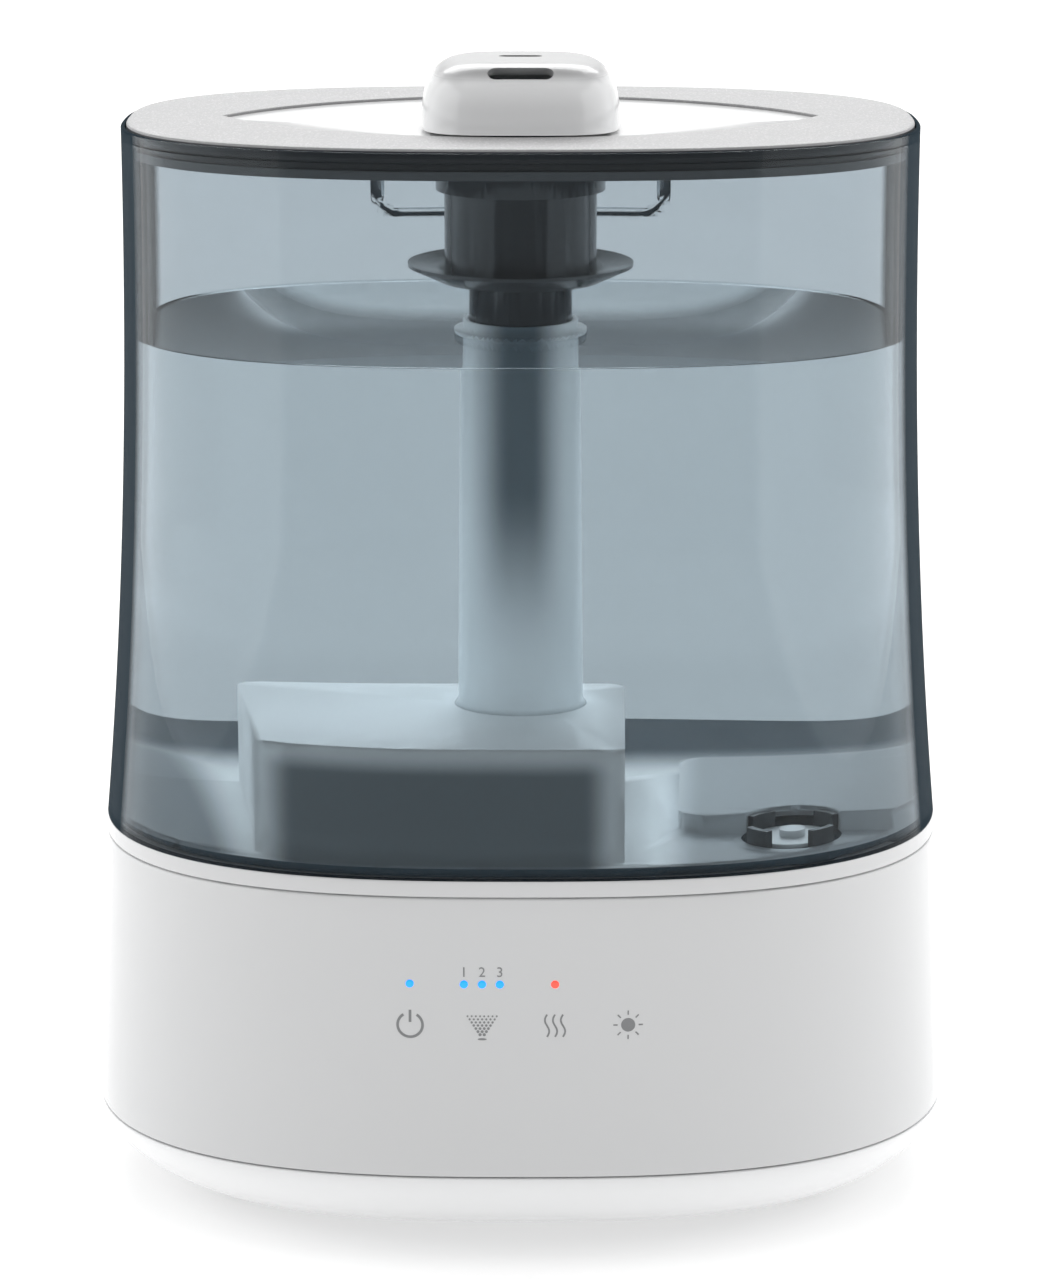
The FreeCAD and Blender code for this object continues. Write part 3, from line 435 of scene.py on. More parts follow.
def new_material(name: str) -> tuple[bpy.types.Material, bpy.types.Node, bpy.types.Node]:
    """Fresh material with its Principled and output nodes.

    Args:
        name: name of the material.

    Returns:
        The material, its Principled node and its output node.
    """
    material = bpy.data.materials.new(name)
    material.use_nodes = True
    tree = material.node_tree
    shader = next(n for n in tree.nodes if n.type == "BSDF_PRINCIPLED")
    output = next(n for n in tree.nodes if n.type == "OUTPUT_MATERIAL")
    return material, shader, output


@dataclass(frozen=True)
class Moulded:
    """Opaque moulded, coated or metal finish with grain, drift and marks."""

    name: str
    colour: RGB
    roughness: float
    surface: Surface = Surface.POLISHED
    metallic: float = 0.0
    grain_scale: float = 900.0
    bump: float = 0.02
    drift: float = 0.03
    flakes: float = 0.0
    coat: float = 0.0

    def build(self) -> bpy.types.Material:
        """Make the material.

        Returns:
            The material.
        """
        material, shader, _ = new_material(self.name)
        tree = material.node_tree
        group = tree.nodes.new("ShaderNodeGroup")
        metal = self.surface is Surface.BRUSHED
        group.node_tree = Effects.brushed() if metal else Effects.grain()
        group.inputs["Base"].default_value = (*self.colour, 1.0)
        group.inputs["Roughness"].default_value = self.roughness
        if not metal:
            group.inputs["Drift"].default_value = self.drift
            group.inputs["Scale"].default_value = self.grain_scale
            group.inputs["Rough Drift"].default_value = 0.25 * self.roughness
            group.inputs["Flakes"].default_value = self.flakes
        bump = tree.nodes.new("ShaderNodeBump")
        bump.inputs["Strength"].default_value = self.bump
        bump.inputs["Distance"].default_value = 0.0003
        tree.links.new(group.outputs["Height"], bump.inputs["Height"])
        tree.links.new(group.outputs["Color"], shader.inputs["Base Color"])
        tree.links.new(group.outputs["Roughness"], shader.inputs["Roughness"])
        tree.links.new(bump.outputs["Normal"], shader.inputs["Normal"])
        shader.inputs["Metallic"].default_value = self.metallic
        shader.inputs["Coat Weight"].default_value = self.coat
        shader.inputs["Coat Roughness"].default_value = 0.04
        return material


@dataclass(frozen=True)
class Clear:
    """Clear or tinted finish; where it is seen edge-on its thickness makes it dark."""

    name: str
    tint: RGB
    ior: float
    roughness: float = 0.0
    drift: float = 0.02
    edge: RGB = (0.02, 0.032, 0.042)
    edge_depth: float = 0.0
    edge_stops: tuple[float, float, float, float] = (0.60, 0.70, 0.95, 1.0)
    edge_inside: bool = False
    shadow_share: float = 0.15

    def build(self) -> bpy.types.Material:
        """Make the material: refracting, dark edge-on, and open to shadow rays.

        Returns:
            The material.
        """
        material, shader, output = new_material(self.name)
        tree = material.node_tree
        group = tree.nodes.new("ShaderNodeGroup")
        group.node_tree = Effects.grain()
        group.inputs["Base"].default_value = (*self.tint, 1.0)
        group.inputs["Roughness"].default_value = self.roughness
        group.inputs["Drift"].default_value = self.drift
        group.inputs["Rough Drift"].default_value = 0.02
        tree.links.new(group.outputs["Color"], shader.inputs["Base Color"])
        shader.inputs["Roughness"].default_value = self.roughness
        shader.inputs["IOR"].default_value = self.ior
        shader.inputs["Transmission Weight"].default_value = 1.0
        seen = shader.outputs["BSDF"]
        if self.edge_depth > 0.0:
            seen = self._edge(tree, seen)
        through = tree.nodes.new("ShaderNodeBsdfTransparent")
        through.inputs["Color"].default_value = (*[c ** self.shadow_share for c in self.tint], 1.0)
        path = tree.nodes.new("ShaderNodeLightPath")
        mix = tree.nodes.new("ShaderNodeMixShader")
        tree.links.new(path.outputs["Is Shadow Ray"], mix.inputs["Fac"])
        tree.links.new(seen, mix.inputs[1])
        tree.links.new(through.outputs["BSDF"], mix.inputs[2])
        tree.links.new(mix.outputs["Shader"], output.inputs["Surface"])
        return material

    def _edge(self, tree: bpy.types.NodeTree, seen: bpy.types.NodeSocket) -> bpy.types.NodeSocket:
        """Mix in the dark glossy edge over a band of viewing angles.

        Args:
            tree: tree to add to.
            seen: shader away from the edge.

        Returns:
            The mixed shader.
        """
        dark = tree.nodes.new("ShaderNodeBsdfPrincipled")
        dark.inputs["Base Color"].default_value = (*self.edge, 1.0)
        dark.inputs["Roughness"].default_value = 0.3
        dark.inputs["IOR"].default_value = 1.0
        facing = tree.nodes.new("ShaderNodeLayerWeight")
        facing.inputs["Blend"].default_value = 0.5
        ramp = tree.nodes.new("ShaderNodeValToRGB")
        ramp.color_ramp.interpolation = "EASE"
        stops = ramp.color_ramp.elements
        stops[0].position, stops[1].position = self.edge_stops[0], self.edge_stops[3]
        stops[0].color = stops[1].color = (0.0, 0.0, 0.0, 1.0)
        for place in self.edge_stops[1:3]:
            stops.new(place).color = (self.edge_depth,) * 3 + (1.0,)
        mix = tree.nodes.new("ShaderNodeMixShader")
        tree.links.new(facing.outputs["Facing"], ramp.inputs["Fac"])
        amount = ramp.outputs["Color"]
        if self.edge_inside:
            side = tree.nodes.new("ShaderNodeNewGeometry")
            amount = Effects.math(tree, "MULTIPLY", side.outputs["Backfacing"], amount)
        tree.links.new(amount, mix.inputs["Fac"])
        tree.links.new(seen, mix.inputs[1])
        tree.links.new(dark.outputs["BSDF"], mix.inputs[2])
        return mix.outputs["Shader"]


@dataclass(frozen=True)
class Zone:
    """Soft-edged region of space; each span rises from its first to its second value."""

    spans: tuple[tuple[str, float, float], ...]
    depth: float = 1.0


@dataclass(frozen=True)
class Shaded:
    """Milky moulding that is darker, like bare smoke plastic, in some zones."""

    name: str
    milk: RGB
    smoke: RGB
    roughness: float
    zones: tuple[Zone, ...]
    coat: float = 0.0
    ior: float = 1.2
    glow: float = 0.15
    bare_rough: float = 0.3

    def build(self) -> bpy.types.Material:
        """Make the material.

        Returns:
            The material.
        """
        material, shader, _ = new_material(self.name)
        tree = material.node_tree
        coord = tree.nodes.new("ShaderNodeTexCoord")
        split = tree.nodes.new("ShaderNodeSeparateXYZ")
        tree.links.new(coord.outputs["Object"], split.inputs["Vector"])
        total = None
        for zone in self.zones:
            mask = self._mask(tree, split, zone)
            total = mask if total is None else Effects.math(tree, "MAXIMUM", total, mask)
        mix = tree.nodes.new("ShaderNodeMix")
        mix.data_type = "RGBA"
        mix.inputs["A"].default_value = (*self.milk, 1.0)
        mix.inputs["B"].default_value = (*self.smoke, 1.0)
        tree.links.new(total, mix.inputs["Factor"])
        group = tree.nodes.new("ShaderNodeGroup")
        group.node_tree = Effects.grain()
        group.inputs["Roughness"].default_value = self.roughness
        tree.links.new(mix.outputs["Result"], group.inputs["Base"])
        tree.links.new(group.outputs["Color"], shader.inputs["Base Color"])
        bare = Effects.math(tree, "MULTIPLY", total, self.bare_rough)
        rough = Effects.math(tree, "ADD", group.outputs["Roughness"], bare)
        tree.links.new(rough, shader.inputs["Roughness"])
        tree.links.new(group.outputs["Color"], shader.inputs["Emission Color"])
        shader.inputs["Emission Strength"].default_value = self.glow
        shader.inputs["IOR"].default_value = self.ior
        shader.inputs["Coat Weight"].default_value = self.coat
        return material

    @staticmethod
    def _mask(tree: bpy.types.NodeTree, split: bpy.types.Node, zone: Zone) -> bpy.types.NodeSocket:
        """Product of the zone's smooth steps, times its depth.

        Args:
            tree: tree to add to.
            split: node with the coordinates.
            zone: region to mask.

        Returns:
            The mask, from 0 to 1.
        """
        mask: float | bpy.types.NodeSocket = zone.depth
        for axis, start, end in zone.spans:
            node = tree.nodes.new("ShaderNodeMapRange")
            node.interpolation_type = "SMOOTHSTEP"
            node.inputs["From Min"].default_value = start
            node.inputs["From Max"].default_value = end
            tree.links.new(split.outputs[axis], node.inputs["Value"])
            mask = Effects.math(tree, "MULTIPLY", node.outputs["Result"], mask)
        return mask


@dataclass(frozen=True)
class Glow:
    """Lit light pipe: a bright core that falls off towards its rim."""

    name: str
    colour: RGB
    strength: float

    def build(self) -> bpy.types.Material:
        """Make the material.

        Returns:
            The material.
        """
        material, shader, _ = new_material(self.name)
        tree = material.node_tree
        coord = tree.nodes.new("ShaderNodeTexCoord")
        noise = tree.nodes.new("ShaderNodeTexNoise")
        noise.inputs["Scale"].default_value = 1500.0
        tree.links.new(coord.outputs["Object"], noise.inputs["Vector"])
        ramp = tree.nodes.new("ShaderNodeValToRGB")
        ramp.color_ramp.elements[0].color = (*[0.8 * c for c in self.colour], 1.0)
        ramp.color_ramp.elements[1].color = (*self.colour, 1.0)
        tree.links.new(noise.outputs["Fac"], ramp.inputs["Fac"])
        tree.links.new(ramp.outputs["Color"], shader.inputs["Base Color"])
        tree.links.new(ramp.outputs["Color"], shader.inputs["Emission Color"])
        shader.inputs["Emission Strength"].default_value = self.strength
        shader.inputs["Roughness"].default_value = 0.2
        return material


class Palette:
    """All finishes of the object, by material slot."""

    FINISHES = {
        "white_gloss": Moulded("white_gloss", (0.66, 0.665, 0.67), 0.16, bump=0.012, coat=0.3),
        "white_satin": Moulded("white_satin", (0.80, 0.82, 0.83), 0.38, Surface.SATIN, bump=0.05),
        "smoke_clear": Clear("smoke_clear", (0.525, 0.572, 0.602), 1.2, edge_depth=0.96),
        "smoke_floor": Shaded("milky_floor", (0.88, 0.92, 0.94), (0.028, 0.052, 0.070), 0.3, (
            Zone((("Y", 0.010, 0.045), ("Z", 0.1245, 0.1215))),
            Zone((("Z", 0.1150, 0.1145),)),
            Zone((("X", -0.074, -0.086), ("Z", 0.1245, 0.1215)), 0.8),
            Zone((("X", 0.036, 0.050), ("Z", 0.1245, 0.1235)), 0.58),
            Zone((("Y", -0.052, -0.060), ("Z", 0.1465, 0.139),
                  ("X", -0.0735, -0.062), ("X", 0.0285, 0.017)), 0.85),
        )),
        "lid_grey": Moulded("lid_grey", (0.31, 0.31, 0.315), 0.5, Surface.SPARKLE, grain_scale=2600.0,
                            bump=0.05, flakes=0.22, drift=0.02),
        "duct_grey": Moulded("duct_grey", (0.05, 0.055, 0.06), 0.14, Surface.SATIN, bump=0.02, coat=0.2),
        "pan_white": Moulded("pan_white", (0.86, 0.865, 0.87), 0.16, bump=0.012, coat=0.3),
        "chimney_milk": Shaded("chimney_milk", (0.82, 0.88, 0.91), (0.05, 0.085, 0.11), 0.2, (
            Zone((("Y", -0.016, -0.024), ("Z", 0.160, 0.215),
                  ("X", -0.015, -0.003), ("X", 0.013, 0.003)), 0.92),
        ), 0.3),
        "nozzle_white": Shaded("nozzle_white", (0.86, 0.865, 0.87), (0.33, 0.332, 0.336), 0.14, (
            Zone((("Z", 0.3235, 0.3275),)),
        ), 0.3, 1.45, 0.0),
        "lid_skirt": Moulded("lid_skirt", (0.008, 0.009, 0.011), 0.3, Surface.SATIN, bump=0.02),
        "silicone": Moulded("silicone", (0.10, 0.105, 0.11), 0.5, Surface.SATIN, bump=0.06),
        "rubber_dark": Moulded("rubber_dark", (0.03, 0.03, 0.032), 0.6, Surface.SATIN, bump=0.1),
        "steel": Moulded("steel", (0.66, 0.67, 0.68), 0.28, Surface.BRUSHED, metallic=1.0),
        "ceramic": Moulded("ceramic", (0.78, 0.76, 0.70), 0.42, Surface.SATIN, bump=0.06),
        "circuit": Moulded("circuit", (0.03, 0.20, 0.08), 0.4, Surface.SATIN, grain_scale=500.0, bump=0.08,
                           drift=0.3),
        "dark_plastic": Moulded("dark_plastic", (0.05, 0.055, 0.06), 0.42, Surface.SATIN, bump=0.06),
        "foam": Moulded("foam", (0.07, 0.07, 0.075), 0.9, Surface.SATIN, grain_scale=700.0, bump=0.7,
                        drift=0.5),
        "light_blue": Glow("light_blue", (0.01, 0.26, 1.0), 1.3),
        "light_red": Glow("light_red", (1.0, 0.075, 0.05), 1.1),
        "lens_clear": Clear("lens_clear", (0.95, 0.97, 1.0), 1.49, 0.1),
        "magnet": Moulded("magnet", (0.10, 0.10, 0.105), 0.45, Surface.BRUSHED, metallic=1.0),
        "water": Clear("water", (0.90, 0.925, 0.93), 1.333, edge_depth=0.9,
                       edge_stops=(0.30, 0.38, 0.98, 1.0), edge_inside=True),
        "water_top": Clear("water_top", (0.80, 0.84, 0.86), 1.333),
        "print_grey": Moulded("print_grey", (0.24, 0.245, 0.25), 0.5, Surface.SATIN, bump=0.02),
    }

    def __init__(self) -> None:
        """Start with no material built."""
        self._built: dict[str, bpy.types.Material] = {}

    def get(self, slot: str) -> bpy.types.Material:
        """Material of a slot, built on first use.

        Args:
            slot: name of the finish.

        Returns:
            The material.
        """
        if slot not in self._built:
            self._built[slot] = self.FINISHES[slot].build()
        return self._built[slot]

    def dress_frame(self) -> None:
        """Give every carried-over CAD node the finish of its slot."""
        for part in frame["record"]["subparts"]:
            data = frame["nodes"][part["node"]].data
            data.materials.clear()
            data.materials.append(self.get(part["material_slot"]))


@dataclass
class Assembly:
    """Common ground of the sub-assemblies."""

    palette: Palette

    def place(self, obj: bpy.types.Object, body: str, slot: str,
              finish: str | None = None) -> bpy.types.Object:
        """Give a piece its finish, slot and body, and report it.

        Args:
            obj: the piece.
            body: CAD body it rides on.
            slot: material slot of the record.
            finish: finish when it isn't the slot's own.

        Returns:
            The same piece.
        """
        obj.data.materials.clear()
        obj.data.materials.append(self.palette.get(finish or slot))
        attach(obj, body)
        LOG.info("%s: %d faces on %s", obj.name, len(obj.data.polygons), body)
        return obj


# ---------------------------------------------------------------- shared sizes
@dataclass(frozen=True)
class Casing:
    """Outline and levels that the sub-assemblies share, read from the frame."""

    oval: Oval
    seam_z: float
    band_z: float
    base_top: float
    tank_top: float
    lid_top: float
    base_taper: float = 4.2 * MM
    tank_flare: float = 8.8 * MM
    flare_power: float = 2.2
    axis_y: float = -16.0 * MM

    @classmethod
    def from_frame(cls) -> "Casing":
        """Read the levels from the CAD nodes' boxes.

        Returns:
            The casing.
        """
        low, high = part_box("base_pan")
        shell_low, shell_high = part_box("base_shell")
        groove = 0.45 * MM
        return cls(
            oval=Oval((high[0] - low[0]) / 2.0, (high[1] - low[1]) / 2.0),
            seam_z=high_rim("base_pan", shell_low[2] - groove),
            band_z=shell_high[2],
            base_top=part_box("basin")[1][2],
            tank_top=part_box("tank_shell")[1][2],
            lid_top=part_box("lid_panel")[1][2],
        )

    def base_inset(self, z: float) -> float:
        """Inset of the upper casing at a height."""
        return self.base_taper * (z - self.seam_z) / (self.base_top - self.seam_z)

    def tank_inset(self, z: float) -> float:
        """Inset of the flared tank wall at a height."""
        u = (z - self.base_top) / (self.tank_top - self.base_top)
        return self.base_taper + self.tank_flare * (1.0 - max(0.0, 1.0 - u) ** self.flare_power)


def high_rim(node: str, fallback: float) -> float:
    """Height of the seam: the lower edge of the shell less the shadow groove."""
    return min(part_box(node)[1][2], fallback)


# ---------------------------------------------------------------- base
@dataclass
class Base(Assembly):
    """White casing: pan, shell, rim band and everything inside it."""

    casing: Casing = field(default_factory=Casing.from_frame)
    segments: int = 256
    wall: float = 2.6 * MM
    groove: float = 0.45 * MM
    curve_w: float = 32.0 * MM
    curve_h: float = 24.5 * MM
    curve_power: float = 1.5
    edge_soft: float = 0.5 * MM

    def build(self) -> None:
        """Make the base's visible pieces."""
        self.shell()
        self.pan()
        self.deck()
        Panel(self.palette, self.casing).build()

    def shell(self) -> None:
        """Upper casing with rounded lips at both shadow grooves."""
        c = self.casing
        low, high = c.seam_z + self.groove, c.band_z - self.groove
        rows: list[Row] = [(c.base_inset(low) + self.wall, low), (c.base_inset(low), low)]
        rows += [(c.base_inset(z), z) for z in spread(low, high, 12)[1:]]
        rows += [(c.base_inset(high) + self.wall, high)]
        skin = Skin(self.segments)
        skin.levels(c.oval, smooth_rows(rows, self.edge_soft))
        skin.close()
        obj = finish_mesh("upper_casing", skin.bm)
        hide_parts("base_shell")
        self.place(obj, "base", "white_gloss")

    def pan(self) -> None:
        """Lower casing with its curved underside."""
        c = self.casing
        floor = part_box("base_pan")[0][2]
        rows = self.underside(0.0, floor, 18)
        rim = [(0.0, floor + self.curve_h), (0.0, c.seam_z), (self.wall, c.seam_z)]
        rows += smooth_rows(rim, self.edge_soft)
        rows += self.underside(self.wall, floor, 9)[::-1]
        skin = Skin(self.segments)
        skin.levels(c.oval, rows)
        skin.cap(skin.first)
        skin.cap(skin.last)
        obj = finish_mesh("lower_pan", skin.bm)
        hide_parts("base_pan")
        self.place(obj, "base", "white_gloss", "pan_white")

    def underside(self, extra: float, floor: float, steps: int) -> list[Row]:
        """Rows of the pan's curve from the floor up.

        Args:
            extra: how far inside the outer face the curve runs.
            floor: height of the pan's lowest point.
            steps: spans in the curve.

        Returns:
            (inset, z) rows.
        """
        rows: list[Row] = []
        power = 2.0 / self.curve_power
        for i in range(steps + 1):
            angle = 0.5 * math.pi * i / steps
            inset = extra + (self.curve_w - extra) * (1.0 - math.sin(angle) ** power)
            rise = extra + (self.curve_h - extra) * (1.0 - max(0.0, math.cos(angle)) ** power)
            rows.append((inset, floor + rise))
        return rows

    def deck(self) -> None:
        """Basin with the rim band."""
        obj = polished_copy("wet_basin", "basin")
        self.place(obj, "base", "white_gloss")
        c = self.casing
        low, high, proud = c.band_z + 0.02 * MM, c.base_top - 0.02 * MM, 0.04 * MM
        rows = [(c.base_inset(low) + 2.0 * MM, low), (c.base_inset(low) - proud, low)]
        rows += [(c.base_inset(high) - proud, high), (c.base_inset(high) + 3.0 * MM, high)]
        skin = Skin(self.segments)
        skin.levels(c.oval, smooth_rows(rows, 0.4 * MM))
        skin.close()
        self.place(finish_mesh("rim_band", skin.bm), "base", "white_gloss")


# ---------------------------------------------------------------- panel
class Print:
    """Flat marks drawn in the XZ plane, then laid on the casing's front."""

    def __init__(self, casing: Casing, lift: float, depth: float) -> None:
        """Start with no mark.

        Args:
            casing: gives the front surface.
            lift: how far the marks stand proud.
            depth: how thick they are.
        """
        self.bm = bmesh.new()
        self.casing = casing
        self.lift = lift
        self.depth = depth

    def ribbon(self, path: Sequence[Row], width: float) -> None:
        """Band of constant width along a path of (x, z) points.

        Args:
            path: middle line, as x and z.
            width: width of the stroke.
        """
        pairs = []
        for i, (x, z) in enumerate(path):
            before, after = path[max(0, i - 1)], path[min(len(path) - 1, i + 1)]
            along = Vector((after[0] - before[0], after[1] - before[1])).normalized() * width / 2.0
            pairs.append((self.bm.verts.new((x - along.y, 0.0, z + along.x)),
                          self.bm.verts.new((x + along.y, 0.0, z - along.x))))
        for (a, b), (c, d) in zip(pairs, pairs[1:]):
            self.bm.faces.new((a, b, d, c))

    def dot(self, x: float, z: float, half_w: float, half_h: float, steps: int = 16) -> None:
        """Filled ellipse.

        Args:
            x: centre.
            z: centre.
            half_w: half width.
            half_h: half height.
            steps: corners.
        """
        made = bmesh.ops.create_circle(self.bm, cap_ends=True, radius=1.0, segments=steps)["verts"]
        for vert in made:
            vert.co = Vector((x + half_w * vert.co.x, 0.0, z + half_h * vert.co.y))

    def digit(self, text: str, x: float, z: float, size: float) -> None:
        """Plain figure centred on a point.

        Args:
            text: the digit.
            x: centre.
            z: centre.
            size: height.
        """
        curve = bpy.data.curves.new("figure", "FONT")
        curve.body = text
        curve.size = size
        curve.align_x, curve.align_y = "CENTER", "CENTER"
        holder = bpy.data.objects.new("figure", curve)
        mesh = bpy.data.meshes.new_from_object(holder)
        start = len(self.bm.verts)
        self.bm.from_mesh(mesh)
        self.bm.verts.ensure_lookup_table()
        for vert in self.bm.verts[start:]:
            vert.co = Vector((x + vert.co.x, 0.0, z + vert.co.y))
        bpy.data.objects.remove(holder)
        bpy.data.curves.remove(curve)
        bpy.data.meshes.remove(mesh)

    def finish(self, name: str) -> bpy.types.Object:
        """Thicken the marks and lay them on the front.

        Args:
            name: name of the piece.

        Returns:
            The piece.
        """
        flat = list(self.bm.faces)
        grown = bmesh.ops.extrude_face_region(self.bm, geom=flat)["geom"]
        front = {g for g in grown if isinstance(g, bmesh.types.BMVert)}
        c = self.casing
        for vert in self.bm.verts:
            surface = c.oval.front(vert.co.x, c.base_inset(vert.co.z))
            vert.co.y = surface - self.lift + (0.0 if vert in front else self.depth)
        return finish_mesh(name, self.bm, 25.0)


@dataclass
class Panel(Assembly):
    """Lights, figures and symbols on the front."""

    casing: Casing
    light_z: float = 82.8 * MM
    pad_z: float = 71.0 * MM
    figure_z: float = 86.2 * MM
    light_r: float = 1.15 * MM
    blue_x: tuple[float, ...] = (-30.5 * MM, -15.6 * MM, -10.6 * MM, -5.7 * MM)
    red_x: tuple[float, ...] = (9.5 * MM,)
    symbol_x: tuple[float, ...] = (-30.5 * MM, -10.6 * MM, 9.5 * MM, 29.7 * MM)
    stroke: float = 0.74 * MM

    def build(self) -> None:
        """Make the lights and the print."""
        self.lamps("panel_lights_blue", "lights_blue", self.blue_x, "light_blue")
        self.lamps("panel_light_red", "light_red", self.red_x, "light_red")
        marks = Print(self.casing, 0.05 * MM, 0.12 * MM)
        for text, x in zip("123", self.blue_x[1:]):
            marks.digit(text, x, self.figure_z, 4.0 * MM)
        self.power(marks, self.symbol_x[0])
        self.mist(marks, self.symbol_x[1])
        self.heat(marks, self.symbol_x[2])
        self.sun(marks, self.symbol_x[3])
        self.place(marks.finish("panel_print"), "base", "dark_plastic", "print_grey")

    def lamps(self, name: str, node: str, places: Sequence[float], slot: str) -> None:
        """Low domes over the light pipes.

        Args:
            name: name of the piece.
            node: node to replace.
            places: x of each lamp.
            slot: finish.
        """
        c = self.casing
        bm = bmesh.new()
        for x in places:
            made = bmesh.ops.create_uvsphere(bm, u_segments=32, v_segments=16, radius=self.light_r)["verts"]
            y = c.oval.front(x, c.base_inset(self.light_z))
            for vert in made:
                vert.co = Vector((x + vert.co.x, y + 0.2 * vert.co.y, self.light_z + vert.co.z))
        obj = finish_mesh(name, bm)
        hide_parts(node)
        self.place(obj, "base", slot)

    def power(self, marks: Print, x: float) -> None:
        """Broken ring with a bar.

        Args:
            marks: print to add to.
            x: centre.
        """
        radius, gap = 3.45 * MM, math.radians(32.0)
        sweep = [gap + (2.0 * math.pi - 2.0 * gap) * i / 48 for i in range(49)]
        ring = [(x + radius * math.sin(a), self.pad_z + radius * math.cos(a)) for a in sweep]
        marks.ribbon(ring, self.stroke)
        marks.ribbon([(x, self.pad_z + 0.8 * MM), (x, self.pad_z + 4.3 * MM)], self.stroke)

    def mist(self, marks: Print, x: float) -> None:
        """Fan of dots over a small ellipse.

        Args:
            marks: print to add to.
            x: centre.
        """
        rows, pitch = 7, 1.15 * MM
        for row in range(rows):
            count = rows + 1 - row
            z = self.pad_z + 2.7 * MM - 0.88 * MM * row
            radius = (0.27 + 0.03 * row) * MM
            for i in range(count):
                marks.dot(x + pitch * (i - (count - 1) / 2.0), z, radius, radius, 12)
        marks.dot(x, self.pad_z - 3.9 * MM, 1.25 * MM, 0.3 * MM, 24)

    def heat(self, marks: Print, x: float) -> None:
        """Three wavy lines.

        Args:
            marks: print to add to.
            x: centre.
        """
        half, swing = 3.2 * MM, 0.6 * MM
        for shift in (-2.2 * MM, 0.0, 2.2 * MM):
            path = []
            for i in range(33):
                t = i / 32
                sway = swing * math.sin(2.0 * math.pi * t)
                path.append((x + shift + sway, self.pad_z - half + 2.0 * half * t))
            marks.ribbon(path, 0.5 * MM)

    def sun(self, marks: Print, x: float) -> None:
        """Disc with eight rays.

        Args:
            marks: print to add to.
            x: centre.
        """
        marks.dot(x, self.pad_z, 1.95 * MM, 1.95 * MM, 40)
        for i in range(8):
            a = math.pi * i / 4
            ends = [(x + r * math.cos(a), self.pad_z + r * math.sin(a)) for r in (2.9 * MM, 4.1 * MM)]
            marks.ribbon(ends, 0.38 * MM)


